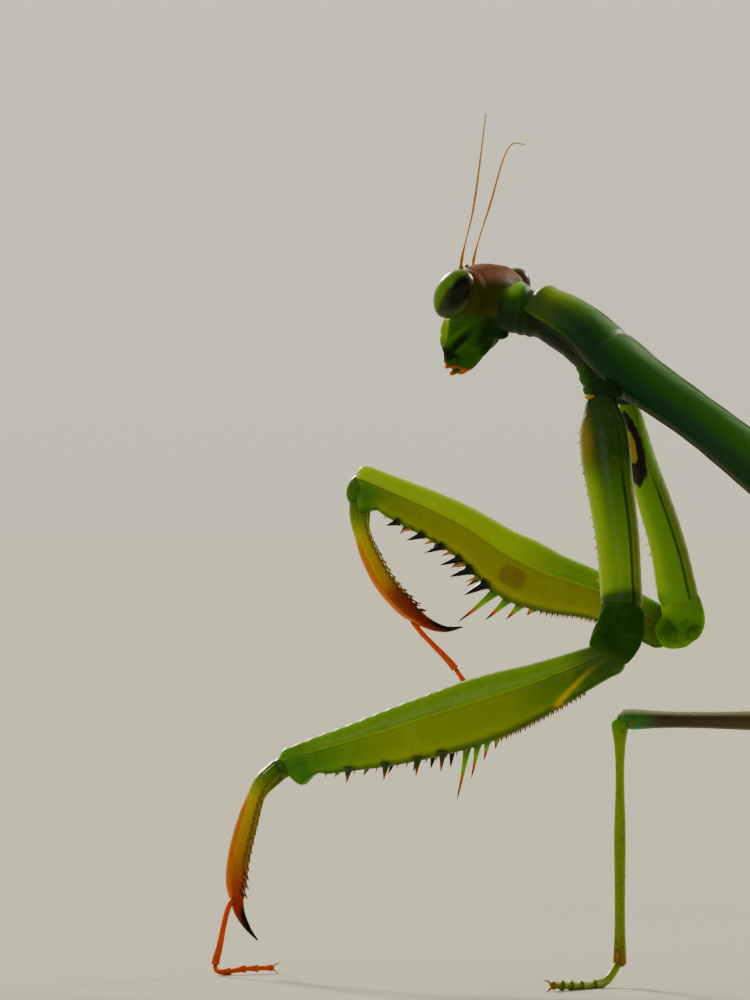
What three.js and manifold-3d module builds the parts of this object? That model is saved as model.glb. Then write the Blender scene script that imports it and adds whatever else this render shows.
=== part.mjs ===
// A praying mantis at life size: a green female that stands with its right foreleg raised.
// Millimetres, +Z up. The head looks towards -X and the insect's left side is towards -Y.
// Places are written from a point on the floor under the shoulders, and the whole model is
// moved at the end so that its origin is the middle of its footprint, at floor level.
import * as THREE from 'three';
import { mergeVertices } from 'three/addons/utils/BufferGeometryUtils.js';
import Module from 'manifold-3d';

const wasm = await Module();
wasm.setup();

const at = (x, y, z) => new THREE.Vector3(x, y, z);
const { clamp, degToRad, lerp, smoothstep } = THREE.MathUtils;
const UP = at(0, 0, 1);
const TAILWARDS = at(1, 0, 0);
const LEFT = -1;
const RIGHT = 1;
const SIDES = { left: LEFT, right: RIGHT };

// ---------------------------------------------------------------- driving dimensions

const GAP = 0.3; // clear space between parts that meet
const MERGE = 1e-4; // vertices closer than this are one vertex
const SLIVER = 0.02; // edges shorter than this, left by a cut, are closed up

// The trunk: points on its middle line, from the front of the shield to the end of the abdomen.
const SHIELD_LINE = [at(-3.67, 0, 28.6), at(-1.67, 0, 27.5), at(0, 0, 26.2), at(4.28, 0, 23.3), at(12.5, 0, 16.8)];
const WING_CHEST_LINE = [at(11.3, 0, 15.6), at(21.6, 0, 15.4)];
const ABDOMEN_LINE = [at(22.0, 0, 15.2), at(37.0, 0, 13.3), at(52.5, 0, 11.6)];
const ABDOMEN_SEGMENTS = 9;
const CERCUS_LINE = [at(51.6, 0.75, 12.0), at(53.6, 1.5, 12.1), at(55.4, 2.1, 12.6)]; // right side

// The head turns and tips about the point half way between the eyes.
const HEAD_CENTRE = at(-5.8, 0, 29.25);
const HEAD_TURN = degToRad(15); // towards its right
const HEAD_ROLL = degToRad(6.6); // left side lower
const HEAD_PITCH = degToRad(25); // mouth pushed forwards
const CROWN = 1.33; // from the eye line up to the crown
const MOUTH = -3.8; // from the eye line down to the mouth
const EYE_SPREAD = 2.2;
const EYE_RADII = at(0.8, 0.9, 1.15); // forwards, sideways, upwards
const FEELER_RADIUS = 0.25;
const FOOT_SEGMENTS = 5;

// Legs: the line of each part in the standing pose. A part ends where the next one starts.
// The flexor is the direction that the spined face of the foreleg's tibia looks towards.
const FORELEGS = {
  left: {
    coxa: [at(0.08, -1.75, 24.5), at(0.6, -2.5, 21.9), at(1.3, -3.15, 18.7), at(1.66, -3.65, 16.1)],
    trochanter: [at(1.66, -3.65, 16.1), at(1.72, -4.0, 14.75), at(1.05, -4.37, 13.55)],
    femur: [at(1.05, -4.37, 13.55), at(-2.27, -4.87, 12.0), at(-7.59, -5.53, 10.2), at(-12.75, -6.22, 8.9)],
    tibia: [at(-12.95, -6.3, 8.7), at(-13.6, -6.7, 7.95), at(-14.12, -7.16, 6.14), at(-14.36, -7.55, 4.3),
      at(-14.2, -7.72, 2.8), at(-13.83, -7.69, 2.05), at(-13.35, -7.63, 1.45)],
    tarsus: [at(-14.5, -8.1, 2.9), at(-14.75, -8.5, 1.3), at(-14.82, -8.75, 0.24), at(-13.9, -7.5, 0.24),
      at(-13.1, -6.4, 0.24)],
    flexor: at(1, 0, 0),
  },
  right: {
    coxa: [at(0.12, 1.75, 24.5), at(0.5, 3.2, 21.3), at(1.05, 4.6, 18.3), at(1.3, 5.4, 16.2)],
    trochanter: [at(1.3, 5.4, 16.2), at(1.3, 5.75, 14.8), at(0.1, 5.8, 14.45)],
    femur: [at(0.1, 5.8, 14.45), at(-4.18, 5.4, 16.5), at(-8.53, 4.98, 18.7), at(-13.45, 4.7, 20.95)],
    tibia: [at(-13.28, 4.74, 20.25), at(-13.2, 4.78, 18.9), at(-12.39, 5.07, 16.9), at(-11.6, 5.33, 15.82),
      at(-10.49, 5.6, 14.85), at(-9.67, 5.8, 14.55), at(-8.86, 5.93, 14.64)],
    tarsus: [at(-10.6, 5.62, 14.1), at(-9.3, 6.05, 12.85), at(-8.75, 6.4, 11.8), at(-8.35, 6.75, 10.1)],
    flexor: at(0.6, 0, 0.8),
  },
};
const MIDLEGS = {
  left: { hip: at(14.6, -1.9, 13.4), knee: at(3.46, -9.38, 11.09), foot: at(3.77, -10.33, 0.9), toe: at(2.2, -14.6, 0.24) },
  right: { hip: at(14.6, 1.9, 13.4), knee: at(7.4, 12.6, 10.6), foot: at(6.2, 16.3, 0.9), toe: at(3.6, 19.8, 0.24) },
};
const HINDLEGS = {
  left: { hip: at(19.4, -1.9, 13.2), knee: at(29.4, -13.6, 15.3), foot: at(36.6, -17.2, 0.9), toe: at(40.6, -20.4, 0.24) },
  right: { hip: at(19.4, 1.9, 13.2), knee: at(28.6, 14.2, 15.7), foot: at(35.2, 18.4, 0.9), toe: at(38.8, 22.0, 0.24) },
};
const HIP_DROP = at(-0.3, 1.5, -2.5); // from the hip to the trochanter; Y is outwards

// Spines of the foreleg, listed from the knee: [share of the part's length, length].
const FEMUR_INNER_SPINES = [[0.9, 0.55], [0.86, 0.35], [0.82, 0.7], [0.785, 0.4], [0.75, 0.8], [0.715, 0.42], [0.68, 0.92],
  [0.65, 0.42], [0.62, 0.88], [0.59, 0.42], [0.555, 1.02]];
const FEMUR_OUTER_SPINES = [[0.83, 0.62], [0.72, 0.72], [0.61, 0.78], [0.5, 0.8]];
const FEMUR_GRASPING_SPINES = [[0.48, 1.95], [0.445, 1.35], [0.41, 1.0], [0.38, 0.7]];
const TIBIA_SPINES = { inner: 9, outer: 7, first: 0.16, last: 0.7, shortest: 0.3, longest: 0.62 };
const COXA_SPINULES = { count: 8, first: 0.1, last: 0.88, length: 0.35 };

// Forewings: they lie flat on the back, the left one over the right one. Each edge row is
// [share of the length, distance from the middle line, counted away from the wing's own side].
const WING_ROOT_X = 14.6;
const WING_TIP_X = 56.0;
const WING_CROWN = [[0, 18.3], [0.1, 18.7], [1, 14.5]]; // height of the middle line
const WING_FRONT_EDGE = [[0, -1.9], [0.1, -3.5], [0.3, -4.9], [0.6, -5.0], [0.8, -4.3], [0.93, -2.9], [1, -1.2]];
const WING_BACK_EDGE = [[0, -0.5], [0.1, 0.8], [0.3, 2.4], [0.6, 2.8], [0.8, 2.6], [0.93, 1.6], [1, 0.1]];
const WING_HALF_WIDTH = 5;
const WING_FALL = 2.3; // how far the front edge hangs below the crown
const WING_STACK = 0.82; // how far the upper wing lies above the lower one
const WING_THICKNESS = 0.5;
const WING_STEPS = 20;
const WING_COLUMNS = 12;
const WING_VEINS = [1, 3, 5, 8, 10]; // the columns that carry a raised vein
const VEIN_HEIGHT = 0.16;

// ---------------------------------------------------------------- materials

const finish = (color, roughness = 0.5) => new THREE.MeshStandardMaterial({ color, roughness, metalness: 0 });
const materials = {
  shield: finish('#2b5a1f', 0.45),
  head: finish('#557f23', 0.45),
  eye: finish('#3c3a1c', 0.2),
  feeler: finish('#b5702a', 0.6),
  legGreen: finish('#6f9a22', 0.45),
  joint: finish('#2c4f18', 0.5),
  shin: finish('#c8641e', 0.45),
  foot: finish('#d8571f', 0.55),
  walkingLeg: finish('#5f8a2c', 0.55),
  belly: finish('#8fae52', 0.6),
  wing: finish('#5c9134', 0.5),
};

// ---------------------------------------------------------------- solids

function geometryOf(points, index) {
  const geometry = new THREE.BufferGeometry();
  geometry.setAttribute('position', new THREE.Float32BufferAttribute(points.flatMap((p) => p.toArray()), 3));
  geometry.setIndex(index);
  return geometry;
}

function signedVolume(geometry) {
  const position = geometry.attributes.position;
  const corner = (i) => new THREE.Vector3().fromBufferAttribute(position, i);
  const index = geometry.index.array;
  let sum = 0;
  for (let i = 0; i < index.length; i += 3) {
    sum += corner(index[i]).dot(corner(index[i + 1]).cross(corner(index[i + 2]))) / 6;
  }
  return sum;
}

function facingOut(geometry) {
  if (signedVolume(geometry) < 0) {
    geometry.index.array.reverse();
  }
  return geometry;
}

/** The same surface with only its positions, and one vertex where several met. */
function merged(geometry) {
  const bare = new THREE.BufferGeometry();
  bare.setAttribute('position', geometry.attributes.position);
  bare.setIndex(geometry.index);
  return mergeVertices(bare, MERGE);
}

function toSolid(geometry) {
  const { attributes, index } = merged(geometry);
  const vertProperties = new Float32Array(attributes.position.array);
  const triVerts = new Uint32Array(index.array);
  return new wasm.Manifold(new wasm.Mesh({ numProp: 3, vertProperties, triVerts }));
}

/** Closes up every edge shorter than SLIVER, where that leaves the surface one closed skin. */
function withoutSlivers(points, triangles) {
  const refused = new Set();
  const isShort = (a, b) => points[a].distanceTo(points[b]) < SLIVER && !refused.has(`${a},${b}`);
  const edgesOf = ([a, b, c]) => [[a, b], [b, c], [c, a]];
  const shortEdge = (list) => list.flatMap(edgesOf).find(([a, b]) => a < b && isShort(a, b));
  let kept = triangles;
  for (let edge = shortEdge(kept); edge; edge = shortEdge(kept)) {
    const [a, b] = edge;
    const around = (v) => new Set(kept.filter((triangle) => triangle.includes(v)).flat());
    const besideB = around(b);
    const beside = [...around(a)].filter((v) => besideB.has(v) && v !== a && v !== b);
    if (beside.length === 2) {
      const moved = kept.map((triangle) => triangle.map((v) => (v === b ? a : v)));
      kept = moved.filter((triangle) => new Set(triangle).size === 3);
    } else {
      refused.add(`${a},${b}`);
    }
  }
  return geometryOf(points, kept.flat());
}

function toGeometry(solid) {
  const pieces = solid.decompose();
  const largest = pieces.reduce((a, b) => (b.volume() > a.volume() ? b : a));
  const { vertProperties, triVerts } = largest.getMesh();
  const threes = (list) => Array.from({ length: list.length / 3 }, (_, i) => [...list.slice(3 * i, 3 * i + 3)]);
  return withoutSlivers(threes(vertProperties).map((xyz) => at(...xyz)), threes(triVerts));
}

/** One closed body: the geometries joined, with the cutters taken away. */
function joined(geometries, cutters = []) {
  const whole = geometries.map(toSolid).reduce((a, b) => a.add(b));
  return toGeometry(cutters.map(toSolid).reduce((a, b) => a.subtract(b), whole));
}

/** A closed surface through rings with the same number of points, with one point closing each end. */
function throughRings(rings, first, last) {
  const sides = rings[0].length;
  const points = [first, ...rings.flat(), last];
  const end = points.length - 1;
  const id = (ring, side) => 1 + ring * sides + (side % sides);
  const index = [];
  for (let side = 0; side < sides; side += 1) {
    index.push(0, id(0, side + 1), id(0, side));
    index.push(end, id(rings.length - 1, side), id(rings.length - 1, side + 1));
    for (let ring = 0; ring < rings.length - 1; ring += 1) {
      index.push(id(ring, side), id(ring, side + 1), id(ring + 1, side + 1));
      index.push(id(ring, side), id(ring + 1, side + 1), id(ring + 1, side));
    }
  }
  return facingOut(geometryOf(points, index));
}

/** The values at a share of the length, read between the listed stations [share, value, ...]. */
function valuesAt(stations, share) {
  const next = stations.findIndex((row) => row[0] >= share);
  if (next <= 0) {
    return stations.at(next).slice(1);
  }
  const [before, after] = [stations[next - 1], stations[next]];
  const blend = (share - before[0]) / (after[0] - before[0]);
  return before.slice(1).map((value, k) => lerp(value, after[k + 1], blend));
}

/**
 * A tapered body along a smooth path. Each size row is [share of length, half height, half width],
 * and the height follows the lean direction. A section function may bend the outline from an
 * ellipse and a ripple may swell it along the length. Both ends are rounded over the blunt length.
 * Overrun lengthens the two ends past the path, for a cut.
 */
class Limb {
  constructor({ path, sizes, lean = UP, sides = 8, steps = 6, blunt = 0.3, overrun = [0, 0], section, ripple }) {
    Object.assign(this, { sizes, lean, sides, steps, blunt, overrun });
    this.curve = path.length > 2 ? new THREE.CatmullRomCurve3(path, false, 'centripetal') : new THREE.LineCurve3(...path);
    this.length = this.curve.getLength();
    this.section = section ?? ((angle) => [Math.cos(angle), Math.sin(angle)]);
    this.ripple = ripple ?? (() => 1);
  }

  /** The middle of the section at a distance along the path, and its three directions. */
  station(distance) {
    const share = clamp(distance / this.length, 0, 1);
    const along = this.curve.getTangentAt(share);
    const centre = this.curve.getPointAt(share).addScaledVector(along, distance - share * this.length);
    const widthways = new THREE.Vector3().crossVectors(this.lean, along).normalize();
    const heightways = new THREE.Vector3().crossVectors(along, widthways);
    return { centre, along, widthways, heightways };
  }

  /** A place on or in the limb: heights and widths are counted in half sizes of the section there. */
  place(share, height, width) {
    const { centre, widthways, heightways } = this.station(share * this.length);
    const [high, wide] = valuesAt(this.sizes, share);
    return centre.addScaledVector(heightways, height * high).addScaledVector(widthways, width * wide);
  }

  /** The closed surface. With grow it comes out larger all round, which is the room that it needs. */
  geometry(grow = 0) {
    const start = -this.overrun[0] - grow;
    const end = this.length + this.overrun[1] + grow;
    const rounding = this.blunt + grow;
    const endRings = [0.2, 1].map((share) => share * rounding);
    const inner = (_, i) => lerp(start + rounding, end - rounding, (i + 1) / this.steps);
    const between = Array.from({ length: this.steps - 1 }, inner);
    const distances = [...endRings.map((d) => start + d), ...between, ...endRings.map((d) => end - d).reverse()];
    const rings = distances.map((distance) => {
      const { centre, widthways, heightways } = this.station(distance);
      const inset = Math.min(distance - start, end - distance, rounding) / rounding;
      const bulge = Math.sqrt(1 - (1 - inset) ** 2) * this.ripple(distance / this.length);
      const [high, wide] = valuesAt(this.sizes, distance / this.length).map((half) => (half + grow) * bulge);
      return Array.from({ length: this.sides }, (_, side) => {
        const [h, w] = this.section((2 * Math.PI * side) / this.sides);
        return centre.clone().addScaledVector(heightways, h * high).addScaledVector(widthways, w * wide);
      });
    });
    return throughRings(rings, this.station(start).centre, this.station(end).centre);
  }
}

/** An egg shape: its axes are three directions, each as long as its radius. */
function egg(centre, axes, detail = 10, grow = 0) {
  const geometry = new THREE.SphereGeometry(1, detail, Math.round(detail * 0.6));
  const scaled = axes.map((axis) => axis.clone().setLength(axis.length() + grow));
  geometry.applyMatrix4(new THREE.Matrix4().makeBasis(...scaled).setPosition(centre));
  return facingOut(merged(geometry));
}

/** A spine that stands on a surface, with its root sunk in it. */
function spine(root, direction, length, radius) {
  const sunk = 0.25;
  const cone = new THREE.ConeGeometry(radius, length + sunk, 5, 1).translate(0, (length - sunk) / 2, 0);
  cone.applyQuaternion(new THREE.Quaternion().setFromUnitVectors(at(0, 1, 0), direction.clone().normalize()));
  return facingOut(merged(cone.translate(...root.toArray())));
}

/** The face where one part of a leg ends and the next starts, square to the bend between their lines. */
function jointBetween(path, nextPath) {
  const place = nextPath[0];
  const before = place.clone().sub(path.at(-2)).normalize();
  const after = nextPath[1].clone().sub(place).normalize();
  return { place, direction: before.add(after).normalize() };
}

/** What lies past a joint, and half the gap; with the turn -1, what lies short of it. */
function pastJoint({ place, direction }, turn = 1) {
  const size = 8;
  const block = new THREE.BoxGeometry(size, size, size).translate(0, 0, (size - GAP) / 2);
  const facing = new THREE.Quaternion().setFromUnitVectors(UP, direction.clone().multiplyScalar(turn));
  return block.applyQuaternion(facing).translate(...place.toArray());
}
const shortOfJoint = (joint) => pastJoint(joint, -1);

/** The block under the floor, which cuts a small flat into each foot that stands. */
function belowFloor() {
  const depth = 10;
  const reach = 120;
  return new THREE.BoxGeometry(reach, reach, depth).translate(0, 0, -depth / 2);
}

// ---------------------------------------------------------------- head

function headAxes() {
  const forwards = at(-Math.cos(HEAD_TURN), Math.sin(HEAD_TURN), 0);
  const rightwards = at(Math.sin(HEAD_TURN), Math.cos(HEAD_TURN), 0).applyAxisAngle(forwards, -HEAD_ROLL);
  const upwards = UP.clone().applyAxisAngle(forwards, -HEAD_ROLL);
  forwards.applyAxisAngle(rightwards, HEAD_PITCH);
  upwards.applyAxisAngle(rightwards, HEAD_PITCH);
  return { forwards, rightwards, upwards };
}
const headFrame = headAxes();

/** A place on the head, by its distances forwards, rightwards and upwards from between the eyes. */
function onHead(forwards, rightwards, upwards) {
  return HEAD_CENTRE.clone()
    .addScaledVector(headFrame.forwards, forwards)
    .addScaledVector(headFrame.rightwards, rightwards)
    .addScaledVector(headFrame.upwards, upwards);
}

/** An egg on the head, with its radii along the head's own directions. */
function headEgg(centre, radii, detail, grow) {
  const { forwards, rightwards, upwards } = headFrame;
  const axes = [
    forwards.clone().multiplyScalar(radii.x),
    rightwards.clone().multiplyScalar(radii.y),
    upwards.clone().multiplyScalar(radii.z),
  ];
  return egg(centre, axes, detail, grow);
}

const eye = (side, grow = 0) => headEgg(onHead(0.1, side * EYE_SPREAD, 0), EYE_RADII, 14, grow);

const skull = new Limb({
  path: [onHead(-0.15, 0, CROWN), onHead(0, 0, 0), onHead(0.05, 0, -2), onHead(0.05, 0, MOUTH)],
  sizes: [[0, 0.75, 1.45], [0.12, 1.08, 2.0], [0.26, 1.22, 2.05], [0.49, 1.18, 1.68], [0.66, 0.98, 1.22], [0.9, 0.6, 0.7],
    [1, 0.45, 0.5]],
  lean: headFrame.forwards,
  sides: 16,
  steps: 8,
  blunt: 0.35,
});

/** A palp: a short jointed feeler beside the mouth. */
function palp(side, root, bend, tip) {
  const path = [root, bend, tip].map(([forwards, sideways, upwards]) => onHead(forwards, side * sideways, upwards));
  const sizes = [[0, 0.25, 0.25], [0.7, 0.25, 0.25], [1, 0.17, 0.17]];
  return new Limb({ path, sizes, lean: headFrame.rightwards, sides: 6, steps: 4, blunt: 0.15 }).geometry();
}

function head() {
  const clypeus = headEgg(onHead(0.78, 0, -2.0), at(0.3, 0.85, 0.5), 10);
  const labrum = headEgg(onHead(0.5, 0, -3.1), at(0.34, 0.5, 0.62), 10);
  const browPlate = headEgg(onHead(1.05, 0, -0.75), at(0.3, 0.85, 0.42), 10);
  const ocelli = [[1.2, 0, 0.62], [1.05, -0.3, 0.95], [1.05, 0.3, 0.95]];
  const features = [clypeus, labrum, browPlate, ...ocelli.map((spot) => headEgg(onHead(...spot), at(0.2, 0.2, 0.2), 6))];
  for (const side of [LEFT, RIGHT]) {
    features.push(headEgg(onHead(0.15, side * 0.5, -3.0), at(0.5, 0.32, 0.7), 8)); // mandible
    features.push(headEgg(onHead(-0.5, side * 0.55, -1.7), at(0.8, 0.85, 1.2), 12)); // cheek
    features.push(palp(side, [-0.35, 0.55, -2.6], [-0.1, 0.9, -3.25], [0.3, 0.75, -3.75]));
    features.push(palp(side, [-0.45, 0.25, -3.0], [-0.35, 0.45, -3.7], [0.05, 0.4, -4.05]));
  }
  const cutters = [eye(LEFT, GAP), eye(RIGHT, GAP), antennae.left.geometry(GAP), antennae.right.geometry(GAP)];
  return joined([skull.geometry(), ...features], cutters);
}

const FEELER_LINES = {
  left: [onHead(1.2, -0.45, 0.6), at(-5.94, -1.0, 32.85), at(-5.2, -1.5, 36.87)],
  right: [onHead(1.2, 0.45, 0.6), at(-6.4, 2.46, 33.05), at(-6.0, 4.2, 35.75), at(-5.55, 4.85, 35.75)],
};

function antenna(name) {
  const slim = FEELER_RADIUS;
  const sizes = [[0, 0.34, 0.34], [0.06, 0.32, 0.32], [0.1, slim, slim], [0.9, slim, slim], [1, slim / 2, slim / 2]];
  return new Limb({ path: FEELER_LINES[name], sizes, lean: TAILWARDS, sides: 7, steps: 10, blunt: 0.15 });
}
const antennae = { left: antenna('left'), right: antenna('right') };

function neck() {
  const column = new Limb({
    path: [onHead(-0.8, 0, -0.2), SHIELD_LINE[0].clone().add(at(0.6, 0, -0.4))],
    sizes: [[0, 0.98, 0.95], [0.5, 0.92, 0.9], [1, 0.95, 1.0]],
    sides: 12,
    steps: 3,
    blunt: 0.1,
  });
  return joined([column.geometry()], [skull.geometry(GAP), shield.geometry(GAP)]);
}

// ---------------------------------------------------------------- trunk

/** The shield's section: a low keel along the back and an edge along each side. */
function keeled(angle) {
  const keel = 0.05 * Math.max(0, Math.cos(angle)) ** 20;
  const edge = 0.08 * Math.abs(Math.sin(angle)) ** 12;
  return [Math.cos(angle) * (1 + keel), Math.sin(angle) * (1 + edge)];
}

const shield = new Limb({
  path: SHIELD_LINE,
  sizes: [[0, 1.0, 1.25], [0.07, 1.12, 1.5], [0.15, 1.22, 1.8], [0.225, 1.32, 2.0], [0.31, 1.14, 1.7], [0.42, 1.07, 1.4],
    [0.55, 1.14, 1.38], [0.7, 1.25, 1.5], [0.85, 1.38, 1.72], [0.95, 1.46, 1.9], [1, 1.42, 1.82]],
  sides: 16,
  steps: 14,
  blunt: 0.35,
  section: keeled,
});

function prothorax() {
  return joined([shield.geometry()], [foreCoxa('left').geometry(GAP), foreCoxa('right').geometry(GAP)]);
}

function pterothorax() {
  const chest = new Limb({
    path: WING_CHEST_LINE,
    sizes: [[0, 1.9, 1.7], [0.2, 2.2, 2.3], [0.6, 2.4, 2.9], [1, 2.3, 2.6]],
    sides: 16,
    steps: 7,
    blunt: 0.6,
  });
  const hips = [MIDLEGS.left, MIDLEGS.right, HINDLEGS.left, HINDLEGS.right].map((leg) => hipOf(leg).geometry(GAP));
  return joined([chest.geometry()], [shield.geometry(GAP), belly.geometry(GAP), ...hips]);
}

/** Each segment of the abdomen widens a little towards its rear edge. */
function segmentRipple(share) {
  return 0.97 + 0.05 * ((share * ABDOMEN_SEGMENTS) % 1);
}

const belly = new Limb({
  path: ABDOMEN_LINE,
  sizes: [[0, 2.1, 2.4], [0.15, 2.45, 3.3], [0.4, 2.6, 4.1], [0.65, 2.35, 3.9], [0.85, 1.7, 2.7], [1, 0.9, 1.3]],
  sides: 16,
  steps: 27,
  blunt: 0.5,
  ripple: segmentRipple,
});

function cercus(side) {
  const path = CERCUS_LINE.map(({ x, y, z }) => at(x, side * y, z));
  return new Limb({ path, sizes: [[0, 0.35, 0.35], [0.5, 0.38, 0.38], [1, 0.15, 0.15]], steps: 5, blunt: 0.2 });
}

function abdomen() {
  return joined([belly.geometry()], [cercus(LEFT).geometry(GAP), cercus(RIGHT).geometry(GAP)]);
}

// ---------------------------------------------------------------- forewings

/** The middle surface of a forewing. Along runs root to tip, across runs front edge to back edge. */
function wingPoint(side, along, across) {
  const y = lerp(valuesAt(WING_FRONT_EDGE, along)[0], valuesAt(WING_BACK_EDGE, along)[0], across);
  const x = lerp(WING_ROOT_X, WING_TIP_X, along);
  const crown = valuesAt(WING_CROWN, along)[0];
  const fall = WING_FALL * (Math.abs(y) / WING_HALF_WIDTH) ** 2.4;
  const lift = side === LEFT ? WING_STACK * smoothstep(y, -4.9, -3.3) : 0;
  return at(x, -side * y, crown - fall + lift);
}

function wingNormal(side, along, across) {
  const step = 0.01;
  const alongways = wingPoint(side, along + step, across).sub(wingPoint(side, along - step, across));
  const acrossways = wingPoint(side, along, across + step).sub(wingPoint(side, along, across - step));
  const normal = alongways.cross(acrossways).normalize();
  return normal.multiplyScalar(Math.sign(normal.z));
}

/** A forewing: a thin curved sheet, split alike on both faces, whose main veins stand up from the upper one. */
function forewing(side) {
  const rows = WING_STEPS + 1;
  const columns = WING_COLUMNS + 1;
  const upper = [];
  const lower = [];
  for (let row = 0; row < rows; row += 1) {
    for (let column = 0; column < columns; column += 1) {
      const [along, across] = [row / WING_STEPS, column / WING_COLUMNS];
      const middle = wingPoint(side, along, across);
      const normal = wingNormal(side, along, across);
      const vein = WING_VEINS.includes(column) ? VEIN_HEIGHT * (1 - along ** 4) : 0;
      upper.push(middle.clone().addScaledVector(normal, WING_THICKNESS / 2 + vein));
      lower.push(middle.clone().addScaledVector(normal, -WING_THICKNESS / 2));
    }
  }
  const under = upper.length;
  const id = (row, column) => row * columns + column;
  const index = [];
  for (let row = 0; row < rows - 1; row += 1) {
    for (let column = 0; column < columns - 1; column += 1) {
      const [a, b, c, d] = [id(row, column), id(row + 1, column), id(row + 1, column + 1), id(row, column + 1)];
      index.push(a, b, c, a, c, d);
      index.push(under + a, under + c, under + b, under + a, under + d, under + c);
    }
  }
  const rim = [];
  for (let row = 0; row < rows - 1; row += 1) {
    rim.push(id(row, 0));
  }
  for (let column = 0; column < columns - 1; column += 1) {
    rim.push(id(rows - 1, column));
  }
  for (let row = rows - 1; row > 0; row -= 1) {
    rim.push(id(row, columns - 1));
  }
  for (let column = columns - 1; column > 0; column -= 1) {
    rim.push(id(0, column));
  }
  rim.forEach((a, k) => {
    const b = rim[(k + 1) % rim.length];
    index.push(b, a, under + a, b, under + a, under + b);
  });
  return facingOut(geometryOf([...upper, ...lower], index));
}

// ---------------------------------------------------------------- forelegs

function foreCoxa(name) {
  return new Limb({
    path: FORELEGS[name].coxa,
    sizes: [[0, 0.85, 0.7], [0.1, 1.0, 0.8], [0.35, 1.0, 0.8], [0.75, 0.95, 0.74], [1, 0.95, 0.7]],
    lean: TAILWARDS,
    sides: 12,
    steps: 6,
    overrun: [0, 1],
  });
}

function foreCoxaSpinules(name) {
  const coxa = foreCoxa(name);
  const { count, first, last, length } = COXA_SPINULES;
  return Array.from({ length: count }, (_, i) => {
    const share = lerp(first, last, i / (count - 1));
    const { heightways, along } = coxa.station(share * coxa.length);
    return spine(coxa.place(share, -0.95, 0), heightways.multiplyScalar(-1).addScaledVector(along, 0.4), length, 0.2);
  });
}

/** The three rows of spines under the femur: an inner row, an outer row and the long grasping ones between. */
function foreFemurSpines(femur, outwards) {
  const row = (rows, height, width, radius, splay) => rows.map(([share, length]) => {
    const { heightways, widthways, along } = femur.station(share * femur.length);
    const direction = along.multiplyScalar(0.5).addScaledVector(heightways, -0.86);
    direction.addScaledVector(widthways, splay * outwards);
    return spine(femur.place(share, height, width * outwards), direction, length, radius);
  });
  return [
    ...row(FEMUR_INNER_SPINES, -0.86, -0.5, 0.21, -0.15),
    ...row(FEMUR_OUTER_SPINES, -0.86, 0.5, 0.24, 0.15),
    ...row(FEMUR_GRASPING_SPINES, -0.93, -0.1, 0.26, 0),
  ];
}

/** Two combs of small spines on the face of the tibia that folds against the femur. */
function foreTibiaSpines(tibia, outwards) {
  const { inner, outer, first, last, shortest, longest } = TIBIA_SPINES;
  const comb = (count, width) => Array.from({ length: count }, (_, i) => {
    const share = lerp(first, last, i / (count - 1));
    const { heightways, widthways, along } = tibia.station(share * tibia.length);
    const direction = along.multiplyScalar(0.75).add(heightways).addScaledVector(widthways, 0.3 * width * outwards);
    return spine(tibia.place(share, 0.85, width * outwards), direction, lerp(shortest, longest, i / (count - 1)), 0.16);
  });
  return [...comb(inner, -0.45), ...comb(outer, 0.45)];
}

/** The segments of a foot show as slight swellings, the first one longest. */
const footRipple = (share) => 1 + 0.14 * Math.abs(Math.sin(FOOT_SEGMENTS * Math.PI * clamp(share, 0, 1) ** 0.8));

function addForeleg(name) {
  const leg = FORELEGS[name];
  const outwards = name === 'left' ? 1 : -1;
  const hinge = jointBetween(leg.coxa, leg.trochanter);
  const elbow = jointBetween(leg.trochanter, leg.femur);
  const trochanter = new Limb({
    path: leg.trochanter,
    sizes: [[0, 0.98, 0.7], [0.5, 1.05, 0.7], [1, 0.92, 0.64]],
    lean: TAILWARDS,
    sides: 12,
    steps: 3,
    overrun: [1, 1],
  });
  const femur = new Limb({
    path: leg.femur,
    sizes: [[0, 0.8, 0.6], [0.1, 0.98, 0.66], [0.22, 1.24, 0.7], [0.35, 1.36, 0.72], [0.55, 1.28, 0.7], [0.72, 1.12, 0.62],
      [0.86, 0.86, 0.54], [0.95, 0.62, 0.5], [1, 0.6, 0.46]],
    sides: 14,
    steps: 12,
    blunt: 0.4,
    overrun: [1, 0],
  });
  const tibia = new Limb({
    path: leg.tibia,
    sizes: [[0, 0.42, 0.4], [0.12, 0.38, 0.36], [0.28, 0.46, 0.38], [0.55, 0.47, 0.38], [0.7, 0.4, 0.33], [0.8, 0.25, 0.24],
      [1, 0.08, 0.08]],
    lean: leg.flexor,
    steps: 12,
    blunt: 0.2,
  });
  const tarsus = new Limb({
    path: leg.tarsus,
    sizes: [[0, 0.24, 0.24], [0.9, 0.25, 0.25], [1, 0.2, 0.2]],
    lean: at(-0.8, 0.6, 0),
    sides: 7,
    steps: 14,
    blunt: 0.15,
    ripple: footRipple,
  });
  const femurBody = [femur.geometry(), ...foreFemurSpines(femur, outwards)];
  const tibiaBody = [tibia.geometry(), ...foreTibiaSpines(tibia, outwards)];
  const coxaBody = [foreCoxa(name).geometry(), ...foreCoxaSpinules(name)];
  add(`fore_coxa_${name}`, joined(coxaBody, [pastJoint(hinge)]), materials.legGreen);
  add(`fore_trochanter_${name}`, joined([trochanter.geometry()], [shortOfJoint(hinge), pastJoint(elbow)]), materials.joint);
  add(`fore_femur_${name}`, joined(femurBody, [shortOfJoint(elbow), tibia.geometry(GAP)]), materials.legGreen);
  add(`fore_tibia_${name}`, joined(tibiaBody), materials.shin);
  add(`fore_tarsus_${name}`, joined([tarsus.geometry()], [tibia.geometry(GAP), belowFloor()]), materials.foot);
}

// ---------------------------------------------------------------- walking legs

function trochanterOf(leg) {
  const outwards = Math.sign(leg.hip.y);
  return leg.hip.clone().add(at(HIP_DROP.x, HIP_DROP.y * outwards, HIP_DROP.z));
}

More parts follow.
